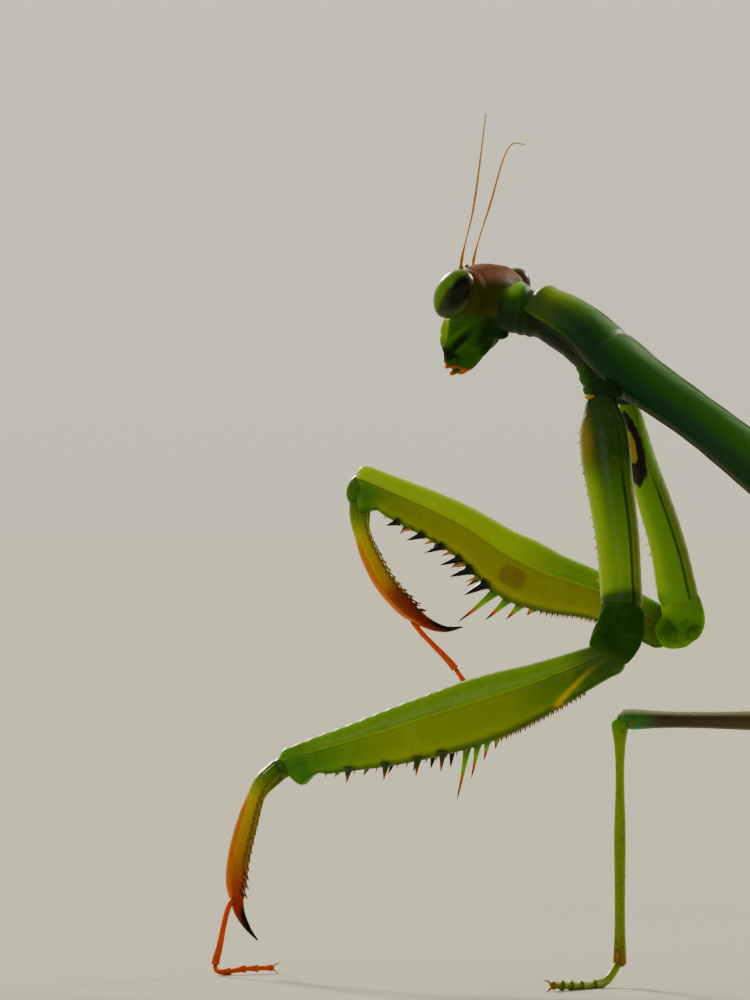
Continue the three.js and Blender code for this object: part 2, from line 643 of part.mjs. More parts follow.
function hipOf(leg) {
  return new Limb({
    path: [leg.hip, trochanterOf(leg)],
    sizes: [[0, 0.95, 0.85], [0.6, 0.8, 0.7], [1, 0.6, 0.55]],
    lean: TAILWARDS,
    sides: 10,
    steps: 3,
    overrun: [0, 0.5],
  });
}

/** The pair of spurs at the end of a shin, and the pair of claws at the end of a foot. */
function pairOfSpines(limb, share, length, radius, splay, lift) {
  const { along, widthways, heightways } = limb.station(share * limb.length);
  return [LEFT, RIGHT].map((side) => {
    const direction = along.clone().addScaledVector(widthways, side * splay).addScaledVector(heightways, lift);
    return spine(limb.place(share, 0, side * 0.4), direction, length, radius);
  });
}

function addWalkingLeg(prefix, name, leg) {
  const thighPath = [trochanterOf(leg), leg.knee];
  const shinPath = [leg.knee, leg.foot];
  const heel = leg.foot.clone().lerp(leg.toe, 0.22).setZ(leg.toe.z);
  const footPath = [leg.foot, heel, leg.toe];
  const hip = jointBetween([leg.hip, thighPath[0]], thighPath);
  const knee = jointBetween(thighPath, shinPath);
  const ankle = jointBetween(shinPath, footPath);
  const thigh = new Limb({
    path: thighPath,
    sizes: [[0, 0.5, 0.4], [0.12, 0.55, 0.42], [0.5, 0.42, 0.34], [0.92, 0.34, 0.3], [0.97, 0.42, 0.36], [1, 0.4, 0.34]],
    steps: 8,
    overrun: [0.5, 0.5],
  });
  const shin = new Limb({
    path: shinPath,
    sizes: [[0, 0.34, 0.34], [0.08, 0.3, 0.28], [0.9, 0.26, 0.26], [1, 0.32, 0.3]],
    lean: TAILWARDS,
    overrun: [0.5, 0.5],
  });
  const foot = new Limb({
    path: footPath,
    sizes: [[0, 0.25, 0.25], [1, 0.25, 0.25]],
    lean: leg.toe.clone().sub(leg.foot).cross(UP).normalize(),
    sides: 7,
    steps: 12,
    blunt: 0.15,
    overrun: [0.5, 0],
    ripple: footRipple,
  });
  const shinBody = [shin.geometry(), ...pairOfSpines(shin, 0.93, 0.75, 0.2, 0.5, 0)];
  const footBody = [foot.geometry(), ...pairOfSpines(foot, 0.97, 0.7, 0.2, 0, 0.4), ...pairOfSpines(foot, 0.97, 0.7, 0.2, 0, -0.4)];
  add(`${prefix}_coxa_${name}`, joined([hipOf(leg).geometry()], [pastJoint(hip)]), materials.walkingLeg);
  add(`${prefix}_femur_${name}`, joined([thigh.geometry()], [shortOfJoint(hip), pastJoint(knee)]), materials.walkingLeg);
  add(`${prefix}_tibia_${name}`, joined(shinBody, [shortOfJoint(knee), pastJoint(ankle)]), materials.walkingLeg);
  add(`${prefix}_tarsus_${name}`, joined(footBody, [shortOfJoint(ankle), belowFloor()]), materials.foot);
}

// ---------------------------------------------------------------- the whole insect

const group = new THREE.Group();

function add(name, geometry, material) {
  const mesh = new THREE.Mesh(geometry, material);
  mesh.name = name;
  group.add(mesh);
}

add('head', head(), materials.head);
add('neck', neck(), materials.shield);
add('prothorax', prothorax(), materials.shield);
add('pterothorax', pterothorax(), materials.belly);
add('abdomen', abdomen(), materials.belly);
for (const [name, side] of Object.entries(SIDES)) {
  add(`eye_${name}`, eye(side), materials.eye);
  add(`antenna_${name}`, antennae[name].geometry(), materials.feeler);
  add(`cercus_${name}`, cercus(side).geometry(), materials.belly);
  add(`forewing_${name}`, forewing(side), materials.wing);
  addForeleg(name);
  addWalkingLeg('mid', name, MIDLEGS[name]);
  addWalkingLeg('hind', name, HINDLEGS[name]);
}

const box = new THREE.Box3().setFromObject(group);
const middle = box.getCenter(new THREE.Vector3());
group.position.set(-middle.x, -middle.y, -box.min.z);

export default group;
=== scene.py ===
"""A life-size praying mantis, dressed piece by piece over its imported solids."""
import math
from functools import partial

import bpy
import numpy as np
from mathutils import Matrix, Vector


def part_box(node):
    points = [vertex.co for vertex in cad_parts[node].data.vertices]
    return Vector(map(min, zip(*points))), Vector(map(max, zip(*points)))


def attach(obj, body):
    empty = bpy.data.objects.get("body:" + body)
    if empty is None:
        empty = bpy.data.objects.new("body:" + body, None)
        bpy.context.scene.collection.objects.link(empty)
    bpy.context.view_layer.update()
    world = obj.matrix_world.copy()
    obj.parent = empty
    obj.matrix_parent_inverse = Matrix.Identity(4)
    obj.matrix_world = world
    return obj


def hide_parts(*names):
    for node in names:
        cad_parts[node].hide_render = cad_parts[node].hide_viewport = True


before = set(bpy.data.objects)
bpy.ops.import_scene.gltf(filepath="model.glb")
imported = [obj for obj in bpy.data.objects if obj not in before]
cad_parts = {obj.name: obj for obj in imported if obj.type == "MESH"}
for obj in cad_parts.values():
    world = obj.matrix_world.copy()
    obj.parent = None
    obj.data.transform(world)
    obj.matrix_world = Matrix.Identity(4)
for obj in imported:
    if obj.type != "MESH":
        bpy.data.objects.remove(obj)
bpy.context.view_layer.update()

RANDOM = np.random.default_rng(11)
MM = 0.001
UP = np.array([0.0, 0.0, 1.0])
TAILWARDS = np.array([1.0, 0.0, 0.0])
SIDES = {"left": -1, "right": 1}


# ---------------------------------------------------------------- sizes of the insect, in millimetres

# Places are counted from a point on the floor under the shoulders: to the tail, to the insect's right, and up.
# Sizes along a limb are (share of its length, half height, half width).
SHIELD_LINE = [(-3.67, 0, 28.6), (-1.67, 0, 27.5), (0, 0, 26.2), (4.28, 0, 23.3), (12.5, 0, 16.8)]
WING_CHEST_LINE = [(11.3, 0, 15.6), (21.6, 0, 15.4)]
ABDOMEN_LINE = [(22.0, 0, 15.2), (37.0, 0, 13.3), (52.5, 0, 11.6)]
CERCUS_LINE = [(51.6, 0.75, 12.0), (53.6, 1.5, 12.1), (55.4, 2.1, 12.6)]

HEAD_CENTRE = np.array([-5.8, 0, 29.2])
HEAD_TURN, HEAD_ROLL, HEAD_PITCH = math.radians(15), math.radians(4.4), math.radians(25)
CROWN, MOUTH = 1.22, -3.8
EYE_SPREAD = 2.2
EYE_RADII = (0.8, 0.86, 1.18)
EYE_TILT = math.radians(12)
EYE_DROP = {-1: 0.0, 1: 0.18}  # the head leans, so its right eye sits a little lower

FORELEGS = {
    "left": {
        "coxa": [(0.08, -1.75, 24.5), (0.6, -2.5, 21.9), (1.3, -3.15, 18.7), (1.66, -3.65, 16.1)],
        "trochanter": [(1.66, -3.65, 16.1), (1.7, -4.0, 14.75), (1.2, -4.37, 13.6)],
        "femur": [(1.05, -4.37, 13.38), (-2.27, -4.87, 11.92), (-7.59, -5.53, 10.2), (-12.75, -6.22, 8.9)],
        "tibia": [(-12.95, -6.3, 8.7), (-13.6, -6.7, 7.95), (-14.12, -7.16, 6.14), (-14.36, -7.55, 4.3),
                  (-14.2, -7.72, 2.8), (-13.83, -7.69, 2.05), (-13.35, -7.63, 1.45)],
        "tarsus": [(-14.32, -7.75, 3.35), (-14.5, -8.1, 2.9), (-14.75, -8.5, 1.3), (-14.82, -8.75, 0.24),
                   (-13.9, -7.5, 0.24), (-13.1, -6.4, 0.24)],
        "flexor": (1, 0, 0),
    },
    "right": {
        "coxa": [(0.12, 1.75, 24.5), (0.5, 3.2, 21.3), (1.02, 4.6, 18.3), (1.22, 5.4, 16.2)],
        "trochanter": [(1.3, 5.4, 16.2), (1.3, 5.75, 14.8), (0.1, 5.8, 14.45)],
        "femur": [(0.25, 5.89, 14.65), (-2.48, 5.54, 15.98), (-4.86, 5.34, 16.66), (-6.51, 5.17, 17.42),
                  (-8.53, 4.98, 18.84), (-13.45, 4.7, 21.08)],
        "tibia": [(-13.28, 4.74, 20.25), (-13.2, 4.78, 18.9), (-12.39, 5.07, 16.9), (-11.6, 5.33, 15.82),
                  (-10.49, 5.6, 14.85), (-9.67, 5.8, 14.55), (-8.86, 5.93, 14.64)],
        "tarsus": [(-11.15, 5.46, 14.98), (-10.6, 5.62, 14.3), (-9.3, 6.05, 12.85), (-8.75, 6.4, 11.8),
                   (-8.35, 6.75, 10.1)],
        "flexor": (0.6, 0, 0.8),
    },
}
COXA_SIZES = {
    "left": [(0, 0.62, 0.5), (0.06, 0.78, 0.6), (0.13, 0.98, 0.76), (0.24, 1.06, 0.8), (0.45, 1.0, 0.78),
             (0.75, 0.92, 0.72), (1, 0.88, 0.68)],
    "right": [(0, 0.36, 0.4), (0.06, 0.46, 0.5), (0.15, 0.5, 0.66), (0.28, 0.56, 0.76), (0.45, 0.7, 0.76),
              (0.75, 0.79, 0.72), (1, 0.89, 0.68)],
}
TROCHANTER_SIZES = {
    "left": [(0, 0.8, 0.58), (0.15, 0.91, 0.65), (0.4, 1.05, 0.74), (0.7, 1.1, 0.72), (1, 0.94, 0.64)],
    "right": [(0, 0.78, 0.56), (0.15, 0.88, 0.64), (0.4, 0.95, 0.72), (0.7, 0.86, 0.68), (1, 0.66, 0.56)],
}
FEMUR_SIZES = {
    "left": [(0, 0.8, 0.56), (0.08, 0.93, 0.62), (0.15, 1.06, 0.67), (0.245, 1.25, 0.72), (0.3, 1.36, 0.74),
             (0.4, 1.45, 0.74), (0.55, 1.37, 0.73), (0.685, 1.21, 0.68), (0.8, 1.0, 0.6), (0.876, 0.88, 0.56),
             (0.96, 0.7, 0.52), (1, 0.64, 0.5)],
    "right": [(0, 0.94, 0.58), (0.1, 0.98, 0.64), (0.205, 1.08, 0.69), (0.326, 1.33, 0.74), (0.438, 1.5, 0.74),
              (0.535, 1.34, 0.73), (0.6, 1.2, 0.71), (0.729, 1.07, 0.66), (0.81, 1.0, 0.6), (0.9, 0.91, 0.56),
              (0.96, 0.85, 0.52), (1, 0.8, 0.5)],
}
TIBIA_SIZES = [(0, 0.46, 0.4), (0.08, 0.46, 0.4), (0.18, 0.38, 0.35), (0.3, 0.45, 0.38), (0.55, 0.48, 0.38),
               (0.68, 0.44, 0.34), (0.75, 0.31, 0.27), (0.86, 0.19, 0.17), (1, 0.03, 0.03)]

# Knobs of the fore trochanter: where, and how big.
KNOBS = {
    "left": [((1.35, -4.5, 14.55), (0.5, 0.3, 0.46)), ((2.2, -4.3, 14.2), (0.36, 0.28, 0.4))],
    "right": [((0.78, 5.2, 14.49), (0.48, 0.34, 0.5)), ((1.89, 5.48, 14.57), (0.36, 0.32, 0.36))],
}
# Knees of the forelegs: where, and how long, high and wide along the femur's end.
KNEES = {"left": ((-12.78, -6.25, 8.76), (0.45, 0.46, 0.42)), "right": ((-13.3, 4.7, 20.7), (0.52, 0.74, 0.42))}

# Spines of the femur: share of its length, and how long.
FEMUR_INNER_SPINES = [(0.833, 0.5), (0.79, 0.35), (0.749, 0.68), (0.712, 0.38), (0.678, 0.78), (0.643, 0.42),
                      (0.607, 0.88), (0.582, 0.45), (0.558, 0.92), (0.53, 0.5), (0.503, 1.05)]
FEMUR_OUTER_SPINES = [(0.81, 0.5), (0.7, 0.6), (0.605, 0.68), (0.53, 0.74)]
FEMUR_GRASPING_SPINES = {"left": [(0.462, 2.25), (0.43, 1.4), (0.4, 0.75), (0.37, 0.4)],
                         "right": [(0.478, 2.15), (0.44, 1.33), (0.405, 0.85), (0.37, 0.35)]}

# Walking legs: hip, knee, foot and toe.
WALKING_LEGS = {
    "mid_left": [(14.6, -1.9, 13.4), (3.46, -9.38, 11.09), (3.77, -10.33, 0.9), (2.2, -14.6, 0.24)],
    "mid_right": [(14.6, 1.9, 13.4), (7.4, 12.6, 10.6), (6.2, 16.3, 0.9), (3.6, 19.8, 0.24)],
    "hind_left": [(19.4, -1.9, 13.2), (29.4, -13.6, 15.3), (36.6, -17.2, 0.9), (40.6, -20.4, 0.24)],
    "hind_right": [(19.4, 1.9, 13.2), (28.6, 14.2, 15.7), (35.2, 18.4, 0.9), (38.8, 22.0, 0.24)],
}
HIP_DROP = (-0.3, 1.5, -2.5)
HIP_SIZES = [(0, 1.2, 1.05), (0.3, 1.02, 0.92), (0.75, 0.76, 0.66), (1, 0.55, 0.5)]
THIGH_SIZES = [(0, 0.46, 0.4), (0.05, 0.42, 0.36), (0.12, 0.54, 0.42), (0.5, 0.42, 0.34), (0.88, 0.37, 0.31),
               (0.96, 0.43, 0.36), (1, 0.4, 0.34)]
SHIN_SIZES = [(0, 0.34, 0.32), (0.03, 0.35, 0.32), (0.08, 0.27, 0.25), (0.5, 0.245, 0.22), (0.9, 0.24, 0.23),
              (1, 0.29, 0.27)]

# Forewings: height of the crown line, and the two edges seen from above, at shares of the length.
WING_ROOT_X, WING_TIP_X = 14.6, 56.0
WING_CROWN = [(0, 17.7), (0.05, 18.35), (0.12, 18.65), (1, 14.5)]
WING_FRONT_EDGE = [(0, -1.6), (0.03, -2.4), (0.1, -3.5), (0.3, -4.9), (0.6, -5.0), (0.8, -4.3), (0.93, -2.9),
                   (0.98, -1.75), (1, -0.8)]
WING_BACK_EDGE = [(0, -0.9), (0.03, -0.2), (0.1, 0.8), (0.3, 2.4), (0.6, 2.8), (0.8, 2.6), (0.93, 1.6),
                  (0.98, 0.6), (1, -0.3)]
WING_FALL, WING_HALF_WIDTH, WING_LAP = 2.3, 5, 0.36
WING_SHEET = (41, 7.5)  # length and width that the pattern of the wing is drawn on


# ---------------------------------------------------------------- lines, sections and surfaces

def at(*values):
    """A place or a direction that can be added to others."""
    return np.array(values, float)


def unit(vectors):
    return vectors / np.maximum(np.linalg.norm(vectors, axis=-1, keepdims=True), 1e-9)


def fade(value, low, high):
    """Runs softly from 0 at low to 1 at high; low may be the larger of the two."""
    t = np.clip((value - low) / (high - low), 0, 1)
    return t * t * (3 - 2 * t)


def bump(value, middle, width):
    """A soft rise of height 1 around the middle."""
    return np.exp(-((value - middle) / width) ** 2)


def oval(x, y, centre, radii, power=2):
    """1 on the rim of an oval that is drawn in these two measures, and less inside it."""
    return ((x - centre[0]) / radii[0]) ** power + ((y - centre[1]) / radii[1]) ** power


def smooth_values(stations, share):
    """Values at shares of the length, on a smooth curve through the stations (share, value, ...)."""
    rows = np.array(stations, float)
    x, y = rows[:, 0], rows[:, 1:]
    slope = np.gradient(y, x, axis=0)
    share = np.clip(share, x[0], x[-1])
    i = np.clip(np.searchsorted(x, share) - 1, 0, len(x) - 2)
    step = (x[i + 1] - x[i])[..., None]
    t = (share - x[i])[..., None] / step
    start = y[i] * (1 + 2 * t) * (1 - t) ** 2 + slope[i] * step * t * (1 - t) ** 2
    return start + y[i + 1] * t * t * (3 - 2 * t) + slope[i + 1] * step * t * t * (t - 1)


def columns_at(places, known, rows):
    """The rows' columns at these places, on straight lines between those where they are known."""
    return np.stack([np.interp(places, known, rows[:, k]) for k in range(rows.shape[1])], axis=1)


def smooth_line(points, count=500, steps=80):
    """An evenly spaced line through the points, bending as a centripetal spline does."""
    p = np.array(points, float)
    if len(p) == 2:
        return p[0] + (p[1] - p[0]) * np.linspace(0, 1, count)[:, None]
    p = np.vstack([2 * p[0] - p[1], p, 2 * p[-1] - p[-2]])
    knots = np.sqrt(np.linalg.norm(np.diff(p, axis=0), axis=1))
    fine = []
    for i in range(1, len(p) - 2):
        before, step, after = knots[i - 1:i + 2]
        a, b, c, d = p[i - 1:i + 3]
        leave = ((b - a) / before - (c - a) / (before + step) + (c - b) / step) * step
        arrive = ((c - b) / step - (d - b) / (step + after) + (d - c) / after) * step
        t = np.linspace(0, 1, steps, endpoint=i == len(p) - 3)[:, None]
        fine.append(b + leave * t + (3 * (c - b) - 2 * leave - arrive) * t ** 2
                    + (2 * (b - c) + leave + arrive) * t ** 3)
    fine = np.vstack(fine)
    run = np.concatenate([[0], np.cumsum(np.linalg.norm(np.diff(fine, axis=0), axis=1))])
    return columns_at(np.linspace(0, run[-1], count), run, fine)


def grid_faces(rows, columns, closed=False):
    """Faces of a grid of points, row after row; closed joins the last column to the first."""
    width = columns if closed else columns - 1
    row, column = np.meshgrid(np.arange(rows - 1), np.arange(width), indexing="ij")
    beside = (column + 1) % columns
    corners = [row * columns + column, row * columns + beside, (row + 1) * columns + beside,
               (row + 1) * columns + column]
    return np.stack([c.ravel() for c in corners], axis=1)


def fan_faces(tip, start, sides, turned=False):
    """Triangles from a tip to the ring of points that begins at the start."""
    ring = np.arange(sides)
    beside = (ring + 1) % sides
    first, second = (beside, ring) if turned else (ring, beside)
    return np.stack([np.full(sides, tip), start + first, start + second], axis=1)


# Marks that only the building functions go by; finishes don't read them.
SHAPE_MARKS = {"angle", "ball", "high", "outer"}


class Skin:
    """A closed surface in millimetres: points, sets of faces, and marks, which are named numbers at each point."""

    def __init__(self, points, faces, **marks):
        self.points, self.faces, self.marks = points, faces, marks

    def __getitem__(self, mark):
        return self.marks[mark]

    def paint(self, **masks):
        self.marks.update(masks)
        return self


class Limb:
    """A body along a smooth line, whose height leans a given way."""

    def __init__(self, line, sizes, lean=UP):
        self.line = smooth_line(line)
        self.sizes = sizes
        self.lean = np.asarray(lean, float)
        self.length = float(np.linalg.norm(np.diff(self.line, axis=0), axis=1).sum())
        self.along = unit(np.gradient(self.line, axis=0))

    def stations(self, share):
        """The middle of the section at each share of the length, and its three directions."""
        share = np.atleast_1d(np.asarray(share, float))
        inside = np.clip(share, 0, 1) * (len(self.line) - 1)
        index = np.arange(len(self.line))
        along = unit(columns_at(inside, index, self.along))
        centre = columns_at(inside, index, self.line) + along * ((share - np.clip(share, 0, 1)) * self.length)[:, None]
        wide = unit(np.cross(self.lean, along))
        return centre, along, np.cross(along, wide), wide

    def place(self, share, height, width):
        """A place on or in the limb, counted in half sizes of its section, with its three directions."""
        centre, along, high, wide = (row[0] for row in self.stations(share))
        half = smooth_values(self.sizes, np.array([share]))[0]
        return centre + high * half[0] * height + wide * half[1] * width, along, high, wide

    def surface(self, rings=120, sides=48, blunt=(0.3, 0.3), overrun=(0, 0), shape=None, relief=None, push=None):
        """The closed skin, with rounded ends. Shape bends the section, relief raises the skin and push slides it
        along, both in millimetres, and overrun carries it past either end."""
        start, end = -overrun[0], self.length + overrun[1]
        cap_rings, tip_angle = 8, 0.1
        cap = 1 - np.cos(np.linspace(tip_angle, math.pi / 2, cap_rings))
        body = np.linspace(start + blunt[0], end - blunt[1], rings)[1:-1]
        distance = np.concatenate([start + blunt[0] * cap, body, (end - blunt[1] * cap)[::-1]])
        head, tail = np.clip((distance - start) / blunt[0], 0, 1), np.clip((end - distance) / blunt[1], 0, 1)
        bulge = (np.sqrt(1 - (1 - head) ** 2) * np.sqrt(1 - (1 - tail) ** 2))[:, None]
        share = distance / self.length
        rows, angle = np.broadcast_arrays(share[:, None], np.linspace(0, 2 * math.pi, sides, endpoint=False))
        high_part, wide_part = shape(rows, angle) if shape else (np.cos(angle), np.sin(angle))
        half = smooth_values(self.sizes, share)
        raised = relief(rows, angle) if relief else 0 * angle
        h = (high_part * half[:, :1] + np.cos(angle) * raised) * bulge
        w = (wide_part * half[:, 1:2] + np.sin(angle) * raised) * bulge
        centre, along, high, wide = self.stations(share)
        points = centre[:, None] + high[:, None] * h[..., None] + wide[:, None] * w[..., None]
        if push:
            points = points + along[:, None] * (push(rows, angle) * bulge)[..., None]
        last = len(share) * sides
        faces = [grid_faces(len(share), sides, closed=True), fan_faces(last, 0, sides, turned=True),
                 fan_faces(last + 1, last - sides, sides)]
        turn = np.append(angle.ravel(), [0, 0])
        return Skin(np.vstack([points.reshape(-1, 3), centre[:1], centre[-1:]]), faces, angle=turn, high=np.cos(turn),
                    outer=np.sin(turn), along=np.append(rows.ravel(), [share[0], share[-1]]))


def thorn(root, direction, length, radius, bend=0.12, sides=9, flare=1.35):
    """A tapered, slightly bent spine with a widened root."""
    sunk, tip_radius, flare_reach, off_axis = 0.12, 0.006, 0.12, at(0.013, 0.007, 0)
    t = np.linspace(0, 1, 10)
    direction = unit(np.asarray(direction, float))
    side = unit(np.cross(direction, UP + off_axis))
    other = np.cross(direction, side)
    droop = np.cross(side, direction)
    middle = root + direction * ((length + sunk) * t - sunk)[:, None] - droop * (bend * length * t ** 2)[:, None]
    size = radius * ((1 - t) ** 0.85 + (flare - 1) * np.exp(-t / flare_reach)) + tip_radius
    angle = np.linspace(0, 2 * math.pi, sides, endpoint=False)
    ring = side * np.cos(angle)[:, None] + other * np.sin(angle)[:, None]
    points = (middle[:, None] + ring[None] * size[:, None, None]).reshape(-1, 3)
    faces = [grid_faces(len(t), sides, closed=True), fan_faces(len(points), len(points) - sides, sides)]
    return Skin(np.vstack([points, middle[-1:] + direction * radius * 0.1]), faces,
                along=np.append(np.repeat(t, sides), 1.0))


def egg(centre, axes, columns=64, rows=40):
    """An egg shape with three axis vectors, each as long as its radius."""
    polar, turn = np.meshgrid(np.linspace(0, math.pi, rows), np.linspace(0, 2 * math.pi, columns, endpoint=False),
                              indexing="ij")
    ball = np.stack([np.sin(polar) * np.cos(turn), np.sin(polar) * np.sin(turn), np.cos(polar)], axis=-1).reshape(-1, 3)
    return Skin(centre + ball @ np.array(axes), [grid_faces(rows, columns, closed=True)], ball=ball)


def add_object(name, data):
    """A new object of this data in the scene."""
    thing = bpy.data.objects.new(name, data)
    bpy.context.scene.collection.objects.link(thing)
    return thing


def merged(skins):
    """The points of several skins, and their faces in one list."""
    faces, count = [], 0
    for skin in skins:
        for rows in skin.faces:
            faces.extend((rows + count).tolist())
        count += len(skin.points)
    return np.vstack([skin.points for skin in skins]), faces


class Piece:
    """Gathers skins into one object; each has the main finish or one of its own."""

    def __init__(self, main_finish):
        self.main_finish, self.skins, self.finishes = main_finish, [], []

    def add(self, skin, finish=None):
        self.skins.append(skin)
        self.finishes.append(finish or self.main_finish)
        return self

    def make(self, name, slot):
        """Builds the object, with its marks for the finishes to read, and puts it in place of the plain solid."""
        points, faces = merged(self.skins)
        mesh = bpy.data.meshes.new(name)
        mesh.from_pydata(to_metres(points).tolist(), [], faces)
        for mark in sorted({mark for skin in self.skins for mark in skin.marks} - SHAPE_MARKS):
            values = np.concatenate([skin.marks.get(mark, np.zeros(len(skin.points))) for skin in self.skins])
            mesh.attributes.new(mark, "FLOAT", "POINT").data.foreach_set("value", values.astype(np.float32))
        palette = list(dict.fromkeys(self.finishes))
        indices = [palette.index(finish) for finish in self.finishes]
        counts = [sum(map(len, skin.faces)) for skin in self.skins]
        mesh.polygons.foreach_set("material_index", np.repeat(indices, counts).tolist())
        for finish in palette:
            mesh.materials.append(finish)
        mesh.validate()
        mesh.shade_smooth()
        piece = add_object(name, mesh)
        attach(piece, "root")
        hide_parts(name)


# ---------------------------------------------------------------- where the head is, and where the insect stands

def head_axes():
    """Forwards, to the right and upwards, as the head sees them."""
    def turned(vector, axis, angle):
        return np.array(Matrix.Rotation(angle, 3, Vector(axis)) @ Vector(vector))
    forwards = at(-math.cos(HEAD_TURN), math.sin(HEAD_TURN), 0)
    rightwards = turned(at(math.sin(HEAD_TURN), math.cos(HEAD_TURN), 0), forwards, -HEAD_ROLL)
    upwards = turned(UP, forwards, -HEAD_ROLL)
    return turned(forwards, rightwards, HEAD_PITCH), rightwards, turned(upwards, rightwards, HEAD_PITCH)


HEAD_AXES = np.array(head_axes())


def on_head(forwards, rightwards, upwards):
    return HEAD_CENTRE + at(forwards, rightwards, upwards) @ HEAD_AXES


def head_egg(centre, radii, tilt=0.0, **detail):
    """An egg on the head; a tilt leans its top to the rear."""
    lean = np.array([[math.cos(tilt), 0, math.sin(tilt)], [0, 1, 0], [-math.sin(tilt), 0, math.cos(tilt)]])
    return egg(on_head(*centre), lean @ HEAD_AXES * at(*radii)[:, None], **detail)


# From the insect's own millimetres to the row's frame: its left eye is at this place in the first and is found in
# the second.
SHIFT = np.array(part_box("eye_left")).mean(axis=0) * 1000 - at(-6.454, -2.092, 29.039)


def to_metres(points):
    """From the insect's own millimetres to the shared frame in metres."""
    return (np.asarray(points) + SHIFT) * MM


# ---------------------------------------------------------------- finishes

# Cloudy fields that break colours up: how many to the metre, and how rough.
FIELDS = {"patches": (1400.0, 3.0), "mottle": (5200.0, 4.0)}


def linear(code):
    """An sRGB hex colour as the linear colour that shaders take."""
    parts = [int(code[i:i + 2], 16) / 255 for i in (1, 3, 5)]
    return (*[c / 12.92 if c <= 0.04045 else ((c + 0.055) / 1.055) ** 2.4 for c in parts], 1.0)


def add_node(tree, kind, inputs=None, out=0, stops=None, **settings):
    """Adds a node with its settings; inputs are values, hex colours or outputs of other nodes. Gives one output."""
    node = tree.nodes.new(kind)
    for name, value in settings.items():
        setattr(node, name, value)
    for key, value in (inputs or {}).items():
        if isinstance(value, bpy.types.NodeSocket):
            tree.links.new(value, node.inputs[key])
        else:
            node.inputs[key].default_value = linear(value) if isinstance(value, str) else value
    if stops:
        ramp = node.color_ramp
        for place in list(stops)[1:-1]:
            ramp.elements.new(place)
        for element, (place, code) in zip(ramp.elements, stops.items()):
            element.position, element.color = place, linear(code)
    return node.outputs[out] if len(node.outputs) else node


def new_material(name):
    """A material without nodes, and the function that adds nodes to it."""
    material = bpy.data.materials.new(name)
    material.use_nodes = True
    material.node_tree.nodes.clear()
    return material, partial(add_node, material.node_tree)


def coated(add, colour, coats, **blend):
    """The colour with coats over it. Each is (mark or field, where it starts, where it is full, colour, strength)
    and lies over those before."""
    for mask, low, high, code, strength in coats:
        if isinstance(mask, str):
            mask = add("ShaderNodeAttribute", attribute_name=mask, out=2)
        amount = add("ShaderNodeMapRange", {0: mask, 1: low, 2: high, 4: strength}, **blend)
        colour = add("ShaderNodeMix", {0: amount, 6: colour, 7: code}, data_type="RGBA", out=2)
    return colour


def cuticle(name, ground, coats=None, glow=0.3, depth_mm=0.5, roughness=0.36, grain_mm=0.11, grain=0.08, shine=0.28):
    """Insect cuticle: a waxy, slightly translucent shell with a fine grain. The ground is a colour, or colours along
    the part. Each coat has the name of a mark or field, and is a colour, a strength and, where the mark doesn't
    count in full from 0 to 1, its start and end."""
    material, add = new_material(name)
    where = add("ShaderNodeTexCoord", out=3)
    fields = {field: add("ShaderNodeTexNoise", {"Vector": where, "Scale": size, "Detail": detail})
              for field, (size, detail) in FIELDS.items()}
    colour = ground
    if not isinstance(ground, str):
        colour = add("ShaderNodeValToRGB", {0: add("ShaderNodeAttribute", attribute_name="along", out=2)},
                     stops=ground)
    layers = [(fields.get(mark, mark), *(span or (0.0, 1.0)), code, strength)
              for mark, (code, strength, *span) in (coats or {}).items()]
    colour = coated(add, colour, layers, interpolation_type="SMOOTHSTEP")
    pits = add("ShaderNodeTexVoronoi", {"Vector": where, "Scale": 1000.0 / grain_mm, "Randomness": 0.9})
    height = add("ShaderNodeMath", {0: fields["mottle"], 1: 0.9, 2: pits}, operation="MULTIPLY_ADD")
    normal = add("ShaderNodeBump", {"Height": height, "Strength": grain, "Distance": 0.04 * MM})
    rough = add("ShaderNodeMapRange", {0: fields["mottle"], 1: 0.3, 2: 0.7, 3: roughness - 0.06, 4: roughness + 0.1})
    shell = add("ShaderNodeBsdfPrincipled", {
        "Base Color": colour, "Roughness": rough, "Normal": normal, "IOR": 1.4, "Subsurface Weight": glow,
        "Subsurface Radius": (0.7, 1.0, 0.15), "Subsurface Scale": depth_mm * MM, "Specular IOR Level": shine})
    add("ShaderNodeOutputMaterial", {0: shell})
    return material


def wing_leather():
    """Leathery forewing: a tough, slightly translucent membrane whose fine net of cells, 0.4 mm wide, shows between
    the raised veins."""
    material, add = new_material("wing_leather")
    along, across = (add("ShaderNodeAttribute", attribute_name=name, out=2) for name in ("length", "width"))
    sheet = add("ShaderNodeCombineXYZ", {0: along, 1: across})
    cells = add("ShaderNodeTexVoronoi", {"Vector": sheet, "Scale": 2.6}, feature="DISTANCE_TO_EDGE")
    net = add("ShaderNodeMapRange", {0: cells, 1: 0.02, 2: 0.09, 3: 1.0, 4: 0.0})
    mottle = add("ShaderNodeTexNoise", {"Vector": sheet, "Scale": 0.9, "Detail": 4.0})
    colour = coated(add, "#2f5f10", (
        (mottle, 0.35, 0.7, "#3d7016", 1.0), (across, 1.3, 0.2, "#6f9a2c", 0.8), (net, 0.0, 1.0, "#55861f", 0.55),
        ("vein", 0.3, 1.0, "#5f8f28", 0.9)))
    height = add("ShaderNodeMath", {0: net, 1: mottle}, operation="ADD")
    normal = add("ShaderNodeBump", {"Height": height, "Strength": 0.5, "Distance": 0.05 * MM})
    shell = add("ShaderNodeBsdfPrincipled", {
        "Base Color": colour, "Roughness": 0.42, "Normal": normal, "IOR": 1.45, "Subsurface Weight": 0.35,
        "Subsurface Radius": (0.6, 1.0, 0.2), "Subsurface Scale": 0.4 * MM, "Coat Weight": 0.05,
        "Coat Roughness": 0.35})
    add("ShaderNodeOutputMaterial", {0: shell})
    return material


